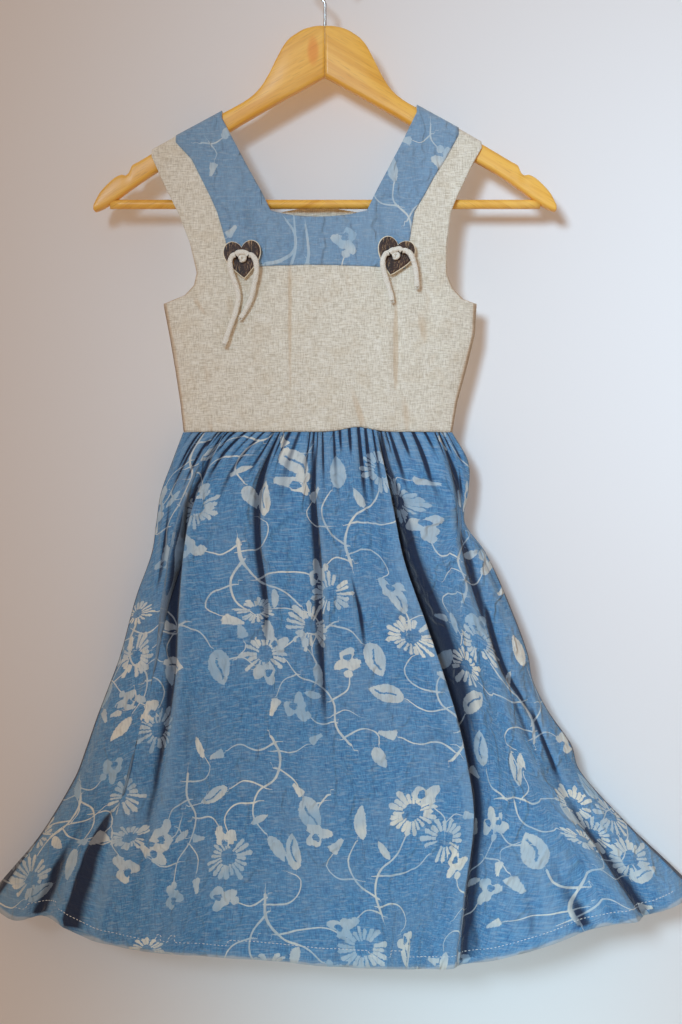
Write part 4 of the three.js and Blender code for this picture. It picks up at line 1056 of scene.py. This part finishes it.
# Share of the way down, side seams, and how far the front and back stand out.
SKIRT = [
    (0, -130, 129.5, 10.5, 9), (0.065, -141, 145, 19, 13), (0.13, -151.5, 145, 24, 15),
    (0.195, -156, 141.5, 28, 17), (0.26, -160.5, 161, 32, 18.5), (0.35, -175, 180, 37, 20),
    (0.48, -191, 202, 43, 22), (0.54, -201, 207, 46, 23), (0.61, -213, 222.5, 49, 24),
    (0.68, -224, 244, 51.5, 25), (0.74, -234.5, 253, 54, 26), (0.86, -267, 301, 58, 28),
    (0.93, -293, 334, 60, 29), (1, -321, 366, 61, 30),
]  # fmt: skip
# Across and height of the hem.
HEM = [
    (0, -913), (0.05, -925), (0.1, -922), (0.13, -931), (0.17, -940), (0.25, -948.5), (0.4, -955),
    (0.5, -961), (0.65, -961.5), (0.75, -948), (0.85, -928), (0.93, -920), (1, -905),
]  # fmt: skip
# Folds: side, the column of the cloth that keeps to it, where it starts and ends, how high the cloth
# rolls up beside it and how far over, how dark its painted shade is, then along its run its place
# across, depth and half width.
FOLDS = named("side column start end roll lean shade x depth wide", [
    (1, 0.726, 0, 1, 0.3, 10, 1,
     (58, 69, 80, 101, 122, 139, 149, 142, 135), (3, 11, 17, 19, 18, 16, 14, 11, 8),
     (4, 6, 8, 9.5, 10.5, 11, 12, 14, 17)),
    (1, 0.146, 0, 1, 0.25, -7, 0.5,
     (-92, -122, -133, -137, -150, -166, -180), (2, 10, 11, 9, 6, 2, 0), (4, 6, 8, 10, 13, 15, 16)),
    (1, 0.493, 0, 0.62, 0.25, -5, 1,
     (-2, -3, 2, 3, 6, 9), (1.5, 5.5, 6, 5, 3.5, 0), (4, 6, 7, 8, 10, 12)),
    (1, 0.355, 0, 0.45, 0.2, -5, 1, (-38, -54, -55, -48, -50), (1.5, 5, 5, 4, 0), (4, 6, 7, 8, 10)),
    (1, 0.93, 0, 1, 0.25, 4, 1,
     (118, 134, 140, 156, 178, 198, 230, 270, 310), (1.5, 6, 5.5, 4.5, 4.5, 3.5, 3, 8, 12),
     (4, 6.5, 8, 9, 10, 11, 12, 13, 15)),
    (1, 0, 0.04, 0.2, 0.3, 4, 1, (134, 138, 145), (0, 3.5, 0), (3, 3.5, 4)),
    (1, 0, 0.2, 0.4, 0.3, 4, 1, (150, 158, 172, 184), (0, 3.6, 4, 0), (4, 4, 4.5, 5)),
    (1, 0, 0.36, 0.64, 0.3, 5, 1,
     (160, 166, 176, 196, 212), (0, 4, 4.4, 3.6, 0), (4, 4.5, 5, 5, 6)),
    (1, 0, 0.5, 0.78, 0.3, -4, 1, (196, 206, 222, 240), (0, 3.6, 3.4, 0), (4, 4.5, 5, 6)),
    (1, 0, 0.4, 0.66, 0.3, -4, 1, (-196, -206, -216, -228), (0, 3.6, 3.6, 0), (4, 5, 5, 6)),
    (1, 0, 0.14, 0.34, 0.3, 4, 1, (-142, -148, -154), (0, 3.4, 0), (4, 4.5, 5)),
    (1, 0, 0.26, 0.44, 0.25, 3, 1, (30, 40, 46), (0, 2.4, 0), (4, 5, 6)),
    (1, 0, 0.5, 1, 0, 0, 1, (-120, -118, -112, -110), (0, 6, 6, 2), (14, 20, 26, 30)),
    (1, 0.055, 0.74, 1, 0.35, 0, 1, (-204, -240, -264), (0, 7, 13), (12, 13, 14)),
    (1, 0, 0.84, 1, 0.2, 0, 1, (214, 232, 252), (0, 4, 6), (11, 12, 14)),
    (-1, 0.3, 0, 1, 0.25, 2, 0.45,
     (-52, -66, -78, -92, -108, -120), (2, 9, 11, 11, 9, 7), (4, 8, 10, 12, 15, 18)),
    (-1, 0.524, 0, 0.8, 0.25, 0, 1, (6, 4, 8, 12, 10), (2, 7, 8, 6, 0), (4, 8, 10, 12, 15)),
    (-1, 0.77, 0, 1, 0.25, -2, 0.45,
     (70, 84, 100, 128, 150, 166), (2, 9, 11, 11, 10, 8), (4, 8, 10, 12, 15, 18)),
    (-1, 0, 0.3, 1, 0.2, 0, 1, (-140, -160, -190, -226), (0, 5, 7, 8), (9, 11, 14, 16)),
    (-1, 0, 0.3, 1, 0.2, 0, 1, (140, 168, 210, 262), (0, 5, 7, 8), (9, 11, 14, 16)),
])  # fmt: skip
# Each side of a fold keeps this share of the cloth's columns, over so many of its half widths. They
# are drawn together from this share of the drop above its start.
FOLD_COLUMNS, FOLD_REACH, DRAWN_FROM = 0.05, 2, 0.3
GATHERS = {1: (40, 3), -1: (34, 61)}  # count of gathers in the panel, and where their chances start
HEM_DEEP = 14  # height of the turned hem
COTTON_WAVES = [
    (3, 26, 0.3), (-12, 41, 0.45), (17, 63, 0.6), (-26, 19, 0.14), (70, 57, 0.3), (108, 33, 0.18),
    (8, 11, 0.07),
]  # fmt: skip
RIDGE = 1.9  # where a fold's ridge stands beside its trough, in half widths
STEEP = 0.5  # how much narrower a leaning fold is on its ridge's side
CROWDING = 1.25  # rows lie closer together towards the waist
FLAT_RADIUS = 290  # of the waist edge, on the panel's flat cut


def gather_lines(count, first):
    """The gathers of a panel: place along the waist seam, length and depth of each."""
    rows = []
    for i in range(count):
        at = (i + 0.5 + 0.75 * (drift(first + i) - 0.5)) / count
        rows.append((at, 20 + 68 * drift(first + i + 0.37) ** 1.8, 0.6 + 0.9 * drift(first + i + 0.71)))
    return rows


def gathered(side, lines, at, below):
    """How far the gathers press the cloth in, and how dark their cores are painted as shade.

    On the front's left they slant outward, as the cloth is drawn to that side.
    """
    widening = 0.3 * (1 + below / 30)
    growing = 1 + 1.3 * np.minimum(1, below / 24)
    pulled = hump((at - 0.16) / 0.2) - 0.35 * hump((at - 0.92) / 0.12)
    slant = 0.07 * (1 - np.exp(-below / 24)) * pulled
    drawn = at + (slant if side > 0 else 0)
    depth = painted_core_shade = 0
    for centre, long, deep in lines:
        off = (drawn - centre) * len(lines) / widening
        reach = hump(below / long)
        depth = depth + deep * reach * (hump(off) + 0.7 * hump(off / 0.45) * reach)
        painted_core_shade = painted_core_shade + deep * reach * hump(off / (0.26 * (1 + 20 / (20 + below))))
    return 1.1 * growing * depth, painted_core_shade


def down(name, drop):
    """A measure of the skirt at a share of the way down."""
    column = {"left": 1, "right": 2, "front": 3, "back": 4}[name]
    return float(smooth([r[0] for r in SKIRT], [r[column] for r in SKIRT], drop))


def evenly(values, run):
    """The value at a share of the run, of values that are evenly spaced along it."""
    return float(smooth(np.linspace(0, 1, len(values)), values, run))


def column_place(side, at, drop):
    """Where the cloth's columns run, crowding round the folds that have one."""
    stations = [(0, 0)]
    kept_folds = [fold for fold in FOLDS if fold["side"] == side and fold["column"]]
    for fold in sorted(kept_folds, key=lambda fold: fold["column"]):
        met = min(fold["end"], max(fold["start"], drop))
        run = (met - fold["start"]) / (fold["end"] - fold["start"])
        span = down("right", met) - down("left", met)
        drawn = min(1, max(0, 1 - (fold["start"] - drop) / DRAWN_FROM))
        column = fold["column"]
        place = column + ((evenly(fold["x"], run) - down("left", met)) / span - column) * drawn
        kept = min(FOLD_COLUMNS, 0.8 * column, 0.8 * (1 - column))
        wanted = kept + (FOLD_REACH * evenly(fold["wide"], run) / span - kept) * drawn
        reach = min(wanted, 0.8 * place, 0.8 * (1 - place))
        stations += [(column - kept, place - reach), (column + kept, place + reach)]
    stations.append((1, 1))
    return np.interp(at, [s[0] for s in stations], [s[1] for s in stations])


def skirt_row(side, at, drop, lines):
    """Points of one row of a skirt panel."""
    across = column_place(side, at, drop)
    waist_x = SKIRT[0][1] + (SKIRT[0][2] - SKIRT[0][1]) * column_place(side, at, 0)
    waist = WAIST_Z - SEAM + waist_lift(waist_x)
    z = waist + (smooth([h[0] for h in HEM], [h[1] for h in HEM], across) - waist) * drop
    c = 2 * across - 1
    at_side = np.minimum(1, (1 - np.abs(c)) * 10)
    left, right = down("left", drop), down("right", drop)
    x = left + (right - left) * across
    pressed, painted_core_shade = gathered(side, lines, at, waist - z)
    # Painted shade: the gathers' cores and the fold troughs are marked dark for the material.
    painted_shade_and_wear = 0.95 * painted_core_shade
    lean = np.zeros(len(x))
    for fold in FOLDS:
        if fold["side"] != side or not fold["start"] <= drop <= fold["end"]:
            continue
        run = (drop - fold["start"]) / (fold["end"] - fold["start"])
        deep = evenly(fold["depth"], run)
        off = (x - evenly(fold["x"], run)) / evenly(fold["wide"], run)
        if fold["lean"]:
            # The ridge on one side stands steep and hangs over the trough.
            off = off * np.sign(fold["lean"])
            off = np.where(off < 0, off / STEEP, off)
            lean += fold["lean"] * deep / 20 * hump((off + RIDGE) / 0.95)
        pressed = pressed + deep * (hump(off) - fold["roll"] * hump((off + RIDGE) / 1.3))
        share = min(1, deep / 12)
        # A deep fold's trough is painted dark as shade on its far side too, and less so lower down,
        # where it opens.
        middle, half = (0.4 * share + 0.25 * share**3, 0.3 + 0.95 * share) if fold["lean"] else (0, 0.6)
        shaded = hump((off - middle) / half) * fold["shade"]
        opened = min(1, max(0, (drop - 0.34) / 0.3))
        painted_shade_and_wear += (1.8 + share**3) * share**0.8 * shaded * (1 - 0.85 * opened)
    worn = waves(COTTON_WAVES, x, z, 2.0 if side > 0 else 5.0) * min(1, drop * 9) * (0.5 + 0.5 * drop)
    stands = down("front" if side > 0 else "back", drop) * fullness(c)
    least = SEAM / 2 + 1.5 * CLOTH * np.minimum(1, (1 - np.abs(c)) * 25)
    depth = np.maximum(least, stands - (pressed + worn) * at_side)
    return np.stack([x + lean * at_side, -side * depth, z], 1), painted_shade_and_wear * at_side


def skirt(side, columns, rows):
    """A panel, with each point's place on the flat cloth, which is a sector of a circle."""
    cloth = Cloth()
    count, first = GATHERS[side]
    lines = gather_lines(count, first)
    at = np.linspace(0, 1, columns + 1)
    drops = np.linspace(0, 1, rows + 1) ** CROWDING
    made_rows = [skirt_row(side, at, drop, lines) for drop in drops]
    grid, painted_shade_and_wear = (np.array([row[k] for row in made_rows]) for k in (0, 1))
    run, arc = np.zeros(grid.shape[:2]), np.zeros(grid.shape[:2])  # lengths down and along the cloth
    run[1:] = np.cumsum(np.linalg.norm(np.diff(grid, axis=0), axis=2), axis=0)
    arc[:, 1:] = np.cumsum(np.linalg.norm(np.diff(grid, axis=1), axis=2), axis=1)
    arc -= arc[:, [columns // 2]]
    from_apex = FLAT_RADIUS + run
    lower = drops > 0.3
    angle = (arc[lower] / from_apex[lower]).mean(0)
    drawn_in = 1 + 0.4 * np.exp(-run / 55)  # gathers hold more cloth than the row is wide
    across, up = from_apex * np.sin(angle) * drawn_in, FLAT_RADIUS - from_apex * np.cos(angle)
    places = np.stack([across, up], 2)
    left_to_hem = run[-1] - run
    worn = 1.8 * hump(left_to_hem / 1.1) + 0.25 * hump((left_to_hem - HEM_DEEP) / 1.2)  # edges rub pale
    above = None
    for k in range(rows + 1):
        laid = cloth.row(grid[k], places[k], "z" if k == 0 else "", painted_shade_and_wear[k] - worn[k])
        cloth.square_ends(laid, "yz" if k == 0 else "y")
        if above is not None:
            cloth.join(above, laid)
        above = laid
    in_hem = 1 / (1 + np.exp((left_to_hem - HEM_DEEP) / 0.8))
    pucker = 0.22 * np.sin(places[..., 0] / 1.9 + 2 * np.sin(places[..., 0] / 17)) * in_hem
    sewn_down = 0.35 * hump((left_to_hem - HEM_DEEP) / 1.1)
    return cloth, grid, (0.45 * in_hem + pucker - sewn_down).ravel()


hem_lines = {}
for side, word, columns, rows in ((1, "front", 380, 112), (-1, "back", 250, 96)):
    cloth, grid, puff = skirt(side, columns, rows)
    made = cloth.shell(f"printed_skirt_{word}", cotton, CLOTH, turned=side < 0, puff=puff)
    stamp(made, cloth, (-20, -160) if side > 0 else (70, -40))
    shifted(made)
    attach(made, "root")
    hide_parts(f"skirt_{word}")
    hem_lines[word] = grid

# ==== Hem stitches ====================================================================================
# A row of machine stitches in white thread, along the upper edge of the hem's turning, in front and
# behind. Each stitch is a short rod, and their lengths differ a little.


def stitch_tree(thread):
    """Stitches laid along a curve: short rods with rounded ends."""
    tree = bpy.data.node_groups.new("stitches", "GeometryNodeTree")
    sockets = tree.interface
    sockets.new_socket("Geometry", in_out="INPUT", socket_type="NodeSocketGeometry")
    for label in ("Pitch", "Length", "Thread"):
        sockets.new_socket(label, in_out="INPUT", socket_type="NodeSocketFloat")
    sockets.new_socket("Seed", in_out="INPUT", socket_type="NodeSocketInt")
    sockets.new_socket("Geometry", in_out="OUTPUT", socket_type="NodeSocketGeometry")
    net = Net(tree)
    given = tree.nodes.new("NodeGroupInput").outputs
    spaced = tree.nodes.new("GeometryNodeResampleCurve")
    spaced.mode = "LENGTH"
    tree.links.new(given["Geometry"], spaced.inputs["Curve"])
    tree.links.new(given["Pitch"], spaced.inputs["Length"])
    ball = tree.nodes.new("GeometryNodeMeshIcoSphere")
    ball.inputs["Subdivisions"].default_value = 2
    ball.inputs["Radius"].default_value = 1.0
    tangent = tree.nodes.new("GeometryNodeInputTangent")
    aimed = tree.nodes.new("FunctionNodeAlignRotationToVector")
    aimed.axis = "X"
    tree.links.new(tangent.outputs[0], aimed.inputs["Vector"])
    chance = tree.nodes.new("FunctionNodeRandomValue")
    chance.data_type = "FLOAT"
    tree.links.new(given["Seed"], chance.inputs["Seed"])
    long = net.calc("MULTIPLY", given["Length"], net.calc("MULTIPLY_ADD", chance.outputs[1], 0.2, 0.4))
    shape = net.add("ShaderNodeCombineXYZ", (long, given["Thread"], given["Thread"]))
    laid = tree.nodes.new("GeometryNodeInstanceOnPoints")
    tree.links.new(spaced.outputs[0], laid.inputs["Points"])
    tree.links.new(ball.outputs[0], laid.inputs["Instance"])
    tree.links.new(aimed.outputs[0], laid.inputs["Rotation"])
    tree.links.new(shape, laid.inputs["Scale"])
    real = tree.nodes.new("GeometryNodeRealizeInstances")
    tree.links.new(laid.outputs[0], real.inputs[0])
    finish = tree.nodes.new("GeometryNodeSetMaterial")
    finish.inputs["Material"].default_value = thread
    tree.links.new(real.outputs[0], finish.inputs["Geometry"])
    tree.links.new(finish.outputs[0], tree.nodes.new("NodeGroupOutput").inputs[0])
    return tree


def stitched(name, tree, path, **sizes):
    """A row of stitches along a path, made a plain mesh."""
    curve = bpy.data.curves.new(name, "CURVE")
    curve.dimensions = "3D"
    spline = curve.splines.new("POLY")
    spline.points.add(len(path) - 1)
    for point, at in zip(spline.points, path):
        point.co = (*(np.array(at) * MM), 1)
    guide = bpy.data.objects.new(name + "_line", curve)
    bpy.context.scene.collection.objects.link(guide)
    modifier = guide.modifiers.new("stitches", "NODES")
    modifier.node_group = tree
    for label, value in sizes.items():
        modifier[next(i.identifier for i in tree.interface.items_tree if i.name == label)] = value
    bpy.context.view_layer.update()
    evaluated = guide.evaluated_get(bpy.context.evaluated_depsgraph_get())
    mesh = bpy.data.meshes.new_from_object(evaluated)
    bpy.data.objects.remove(guide)
    mesh.shade_smooth()
    made = bpy.data.objects.new(name, mesh)
    bpy.context.scene.collection.objects.link(made)
    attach(made, "root")


thread, net, shader = material("sewing thread", 0.7)
twist = net.noise(net.add("ShaderNodeTexCoord", out="Object"), 2600.0, 2.0)
net.feed(shader, Base_Color=net.blend(twist, colour(206, 206, 202), colour(244, 243, 238)))
sewn = stitch_tree(thread)
STITCH = dict(Pitch=0.0036, Length=0.0025, Thread=0.00034, Seed=7)  # sizes in metres
STITCH_OUT = 0.35  # how far the thread's middle lies out of the cloth
SEAM_KEPT = 6  # columns beside each side seam that have no stitch
for word, side in (("front", 1), ("back", -1)):
    grid = hem_lines[word]
    left_to_hem = np.cumsum(np.linalg.norm(np.diff(grid, axis=0), axis=2)[::-1], axis=0)[::-1]
    path = []
    for j in range(SEAM_KEPT, grid.shape[1] - SEAM_KEPT):
        k = int(np.argmin(np.abs(left_to_hem[:, j] - HEM_DEEP)))
        path.append(grid[k, j] + (DRESS_X, -side * STITCH_OUT, 0))
    stitched(f"hem_stitches_{word}", sewn, path, **STITCH)

# ==== Hearts and cords ================================================================================
# Two flat hearts cut from coconut shell, dark with pale streaks of grain, their sawn edges left pale.
# Each lies on the neck band, held by a soft cotton cord. The cord comes through its hole, is knotted
# over it, and hangs down in two tails with frayed ends.

HEART_SIZE, HEART_THICK, HEART_HOLE = 36, 4, 3  # width, thickness, radius of the hole
CORD_RADIUS = 2.6
CORD_OUT = HEART_THICK + 0.7  # the tails' routes are measured from so far out of the heart's back
KNOT_POINTS, FRAYS = 16, 26
# Where each heart's hole is, how far out its back lies, its turn, and the routes of its cord's tails.
HEARTS = {
    "left": dict(
        at=(-71.5, -18.9, -297.5), turn=5,
        tails=[
            [
                (-6.4, 3.4, 1), (-9.4, 3.1, 0), (-11.6, 2.5, -6.5), (-9.6, 1.2, -17), (-5.2, -0.4, -29),
                (-3.8, -1.2, -40), (-7.2, -1.6, -55), (-12.4, -1.8, -69), (-17.4, -1.8, -83),
            ],
            [
                (6.4, 3.4, 1), (9.6, 3.1, 0.4), (13, 2.6, -5), (13.6, 1.6, -15), (11.2, 0, -27),
                (8.4, -0.9, -39), (3.4, -1.4, -50), (-1.6, -1.7, -58),
            ],
        ],
    ),
    "right": dict(
        at=(74, -18.8, -295), turn=-14,
        tails=[
            [
                (-6.4, 3.4, 0.6), (-9.6, 3.1, -0.6), (-12.2, 2.6, -7), (-11.2, 1.4, -16),
                (-8.4, 0, -25), (-5.6, -1, -34), (-3.4, -1.4, -44),
            ],
            [
                (6.4, 3.6, 2.4), (9.6, 3.6, 2.4), (14, 3.2, -0.6), (17.6, 1.6, -9), (19.6, 0, -19),
                (20.4, -1, -31),
            ],
        ],
    ),
}  # fmt: skip
# Half of a heart's outline, from its point to its dip, in half widths.
HALF_HEART = [
    (0, -1.16), (-0.2, -0.99), (-0.52, -0.66), (-0.84, -0.26), (-0.99, 0.12), (-0.98, 0.46),
    (-0.82, 0.73), (-0.56, 0.85), (-0.3, 0.8), (-0.1, 0.66), (0, 0.52),
]  # fmt: skip
# Round the heart's rim, then round its hole: how far in or out, how far out of the cloth, how pale.
RIM = [
    (0.8, 0, 1), (0.2, 0.3, 1), (0, 1, 1), (0, 3, 1), (0.35, 3.6, 1), (0.9, 3.85, 0.6), (1.6, 4, 0),
    (3, 4, 0),
]  # fmt: skip
HOLE_RIM = [(0.5, 4, 0), (0.1, 3.8, 0.3), (0, 3.4, 0.5), (0, 0.4, 0.5), (0.4, 0, 0.6)]


def heart_edge(count):
    """The heart's outline, as points across and up."""
    left = curve_through(np.array(HALF_HEART) * HEART_SIZE / 2, count)
    return np.concatenate([left, left[-2:0:-1] * (-1, 1)])


def heart(name, turn, material):
    """A flat heart with rounded edges and a hole."""
    outline = heart_edge(40)
    count = len(outline)
    away = outline / np.linalg.norm(outline, axis=1)[:, None]
    angles = np.arctan2(outline[:, 1], outline[:, 0])
    hole = np.stack([np.cos(angles), np.sin(angles)], 1) * HEART_HOLE
    sections = [(outline - away * inset, height, edge) for inset, height, edge in RIM]
    sections += [(outline * (1 - share) + hole * share, HEART_THICK, 0) for share in (0.4, 0.75)]
    sections += [(hole * (1 + grow / HEART_HOLE), height, edge) for grow, height, edge in HOLE_RIM]
    flat = np.concatenate([section for section, height, edge in sections])
    out = np.repeat([height for section, height, edge in sections], count)
    faces = []
    for k in range(len(sections)):
        for i in range(count):
            a, b = k * count + i, k * count + (i + 1) % count
            over = ((k + 1) % len(sections)) * count
            faces.append((a, b, over + (i + 1) % count, over + i))
    a = math.radians(turn)
    across = flat[:, 0] * math.cos(a) - flat[:, 1] * math.sin(a)
    up = flat[:, 0] * math.sin(a) + flat[:, 1] * math.cos(a)
    made = solid(name, np.stack([across, -out, up], 1), faces, material)
    rim = made.data.attributes.new("rim", "FLOAT", "POINT")
    paleness = np.repeat([edge for section, height, edge in sections], count)
    rim.data.foreach_set("value", paleness.astype(np.float32))
    grain = made.data.attributes.new("grain", "FLOAT_VECTOR", "POINT")
    grain.data.foreach_set("vector", (np.insert(flat, 2, out, 1) * MM).astype(np.float32).ravel())
    return made


shell, net, shader = material("coconut shell", 0.5, Specular_IOR_Level=0.3)
place = net.attribute("grain", "Vector")
streaks = net.noise(net.stretched(place, 1300, 115, 1), 1.0, 3.0, 0.6)
fine = net.noise(net.stretched(place, 3200, 300, 1), 1.0, 2.0, 0.6)
blotch = net.noise(place, 140.0, 3.0)
rim = net.attribute("rim", "Fac")
tone = net.blend(net.soft(blotch, 0.3, 0.7), colour(30, 16, 9), colour(62, 34, 19))
tone = net.tinted(tone, fine, 0.55, 0.66, 0.4, (120, 78, 46))
tone = net.tinted(tone, streaks, 0.57, 0.63, 0.85, (196, 158, 112))
tone = net.tinted(tone, rim, 0.5, 0.85, 1, (246, 234, 208))
net.feed(shader, Base_Color=tone, Normal=net.bump(streaks, 0.0001))

string, net, shader = material("cotton cord", 0.95, Sheen_Weight=0.3)
place = net.add("ShaderNodeTexCoord", out="Object")
fuzz = net.noise(place, 1300.0, 3.0, 0.6)
lumps = net.noise(place, 300.0, 3.0)
tone = net.blend(net.soft(fuzz, 0.3, 0.7), colour(222, 213, 194), colour(250, 246, 235))
tone = net.tinted(tone, lumps, 0.52, 0.66, 0.2, (214, 198, 168))
uneven = net.calc("MULTIPLY_ADD", lumps, 3.0, fuzz)
net.feed(shader, Base_Color=tone, Normal=net.bump(uneven, 0.0006, 0.9))


def crushed(route, radius, phase):
    """Radii of a soft cord that swells and thins along its run."""
    along = np.linspace(0, 1, len(route)) * np.linalg.norm(np.diff(route, axis=0), axis=1).sum()
    return radius * (1 + 0.05 * np.sin(along / 2.3 + phase) + 0.04 * np.sin(along / 5.1 + 2 * phase))


def frays(name, end, ahead, count):
    """Loose threads at a cord's cut end."""
    points, faces = [], []
    for k in range(count):
        turn = 2 * math.pi * drift(k + 5 * count)
        spread = CORD_RADIUS * 0.8 * math.sqrt(drift(k + 0.4))
        side = np.cross(ahead, (0, 1, 0))
        side /= np.linalg.norm(side)
        up = np.cross(side, ahead)
        root = end + side * spread * math.cos(turn) + up * 0.8 * spread * math.sin(turn) - ahead * 0.6
        long, stray = 1.6 + 2.6 * drift(k + 0.8), (drift(k + 0.2) - 0.5) * 2.2
        tip = root + ahead * long + side * stray + np.array((0, 0, -0.4 * drift(k)))
        bowed = np.sin(np.linspace(0, 3, 5))[:, None] * 0.3 * (drift(k + 0.6) - 0.5)
        line = np.linspace(root, tip, 5) + side * bowed
        made_points, made_faces = loft(sweep(line, np.array([0.32, 0.3, 0.26, 0.2, 0.1]), 5))
        faces += [[i + len(points) for i in f] for f in made_faces]
        points += list(made_points)
    return solid(name, points, faces, string)


def cord_piece(made, node):
    """Makes a piece part of the cords; frays stand for no node."""
    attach(made, "root")
    if node:
        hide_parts(node)


for name, heart_at in HEARTS.items():
    at = np.array(heart_at["at"]) + (DRESS_X, 0, 0)
    made = heart(f"button_{name}", heart_at["turn"], shell)
    made.data.transform(Matrix.Translation(at * MM))
    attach(made, "root")
    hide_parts(f"heart_{name}")
    # The knot: the cord comes through the hole, winds round in a small coil and arches over it.
    turns = np.linspace(-0.6 * math.pi, 1.5 * math.pi, KNOT_POINTS)
    tight = np.linspace(1, 0.55, KNOT_POINTS)
    rising = -HEART_THICK - 2.2 - 0.12 * np.arange(KNOT_POINTS)
    coil = np.stack([3.0 * tight * np.cos(turns), rising, 2.6 * tight * np.sin(turns) - 1.6], 1)
    stem = np.array([(0, SEAM + 0.2, 0), (0.1, -2, 0), (0.3, -HEART_THICK - 0.4, -1.2)])
    route = curve_through(np.concatenate([stem, coil]), 80)
    thick = np.interp(np.linspace(0, 1, 80), [0, 0.15, 0.3, 0.9, 1], [2.2, 2.2, 1.9, 1.7, 1.0])
    points, faces = loft(sweep(route, thick, 12))
    starts = [tail[0] for tail in heart_at["tails"]]
    left, right = (np.array((x, -CORD_OUT - out, z)) for x, out, z in starts)
    middle = np.array((0, -HEART_THICK - 5.0, 3.4))
    shoulders = [foot * (0.55, 1, 1) + (0, -0.4, 1.9) for foot in (left, right)]
    feet = left + (0.6, 0, 0), right - (0.6, 0, 0)
    arch = curve_through([feet[0], shoulders[0], middle, shoulders[1], feet[1]], 60)
    over_points, over_faces = loft(sweep(arch, crushed(arch, CORD_RADIUS * 0.97, 1.0), 14, 0.9))
    faces = [list(f) for f in faces] + [[i + len(points) for i in f] for f in over_faces]
    knot = solid(f"knot_{name}", np.array(list(points) + list(over_points)) + at, faces, string)
    cord_piece(knot, f"cord_knot_{name}")
    for k, tail in enumerate(heart_at["tails"]):
        route = curve_through(np.array([(x, -CORD_OUT - out, z) for x, out, z in tail]) + at, 90)
        points, faces = loft(sweep(route, crushed(route, CORD_RADIUS, k + 2.0), 14, 0.88))
        made = solid(f"tail_{name}_{k + 1}", points, faces, string)
        cord_piece(made, f"cord_tail_{name}_{k + 1}")
        ahead = route[-1] - route[-4]
        fringe = frays(f"frays_{name}_{k + 1}", route[-1], ahead / np.linalg.norm(ahead), FRAYS)
        cord_piece(fringe, None)

# ==== Room ============================================================================================
# A pale sweep of wall and floor close behind the dress, warm light all round, a cool soft lamp from the
# left, a lamp behind for the back of the dress, and a faint one low in front for the hem.

paper, net, shader = material("pale sweep", 0.95, Base_Color=colour(235, 232, 230))
clear = net.add("ShaderNodeBsdfTransparent")
# Clear from behind, and to the light that falls on the back of the dress.
behind = net.add("ShaderNodeNewGeometry", out="Backfacing")
for ray in ("Is Shadow Ray", "Is Diffuse Ray"):
    behind = net.calc("MAXIMUM", behind, net.add("ShaderNodeLightPath", out=ray))
seen_through = net.add("ShaderNodeMixShader", (behind, shader.outputs[0], clear))
net.tree.links.new(seen_through, net.tree.nodes["Material Output"].inputs[0])
WALL_Y, WALL_TOP, FLOOR_Z, FLOOR_FRONT, BEND, SWEEP_HALF = 36, 900, -1170, -1600, 120, 1700
profile = [(WALL_Y, WALL_TOP), (WALL_Y, FLOOR_Z + BEND)]
for a in np.linspace(0, math.pi / 2, 24)[1:]:
    profile.append((WALL_Y - BEND + BEND * math.cos(a), FLOOR_Z + BEND - BEND * math.sin(a)))
profile.append((FLOOR_FRONT, FLOOR_Z))
points = [(x, y, z) for x in (-SWEEP_HALF, SWEEP_HALF) for y, z in profile]
far = len(profile)
faces = [(i, i + 1, i + far + 1, i + far) for i in range(far - 1)]
sweep_made = solid("sweep", points, faces, paper)

world = bpy.data.worlds.new("room")
bpy.context.scene.world = world
world.use_nodes = True
net = Net(world.node_tree)
direction = net.add("ShaderNodeTexCoord", out="Generated")
rightward = net.add("ShaderNodeSeparateXYZ", (direction,), 0)
background = world.node_tree.nodes["Background"]
tone = net.blend(net.soft(rightward, -0.8, 0.8), colour(196, 168, 144), colour(198, 180, 168))
net.feed(background, Color=tone)
background.inputs["Strength"].default_value = 0.87


def lamp(name, at, toward, size, power, tint, spread):
    """A round soft lamp, aimed at a point."""
    light = bpy.data.lights.new(name, "AREA")
    light.shape, light.size = "DISK", size
    light.energy, light.color = power, tint
    light.spread = math.radians(spread)
    made = bpy.data.objects.new(name, light)
    bpy.context.scene.collection.objects.link(made)
    made.location = at
    made.rotation_euler = (Vector(at) - Vector(toward)).to_track_quat("Z", "Y").to_euler()


lamp("window", (-0.75, -2.6, 0.3), (0.7, 0, -0.45), 0.7, 5.2, (0.54, 0.78, 1), 40)
lamp("back", (0.9, 2.4, 0.5), (0, 0, -0.5), 1.2, 3.4, (0.8, 0.9, 1), 60)
lamp("low fill", (0.3, -2.4, -1.05), (0.14, 0, -1.1), 0.4, 0.34, (0.42, 0.8, 1), 17)
bpy.context.scene.view_settings.view_transform = "Standard"

camera = bpy.data.cameras.new("camera")
camera.lens, camera.sensor_width = 54.7, 36
seen = bpy.data.objects.new("camera", camera)
bpy.context.scene.collection.objects.link(seen)
seen.location = (0.0154, -1.5, -0.540)
seen.rotation_euler = (math.pi / 2, 0, 0)
bpy.context.scene.camera = seen
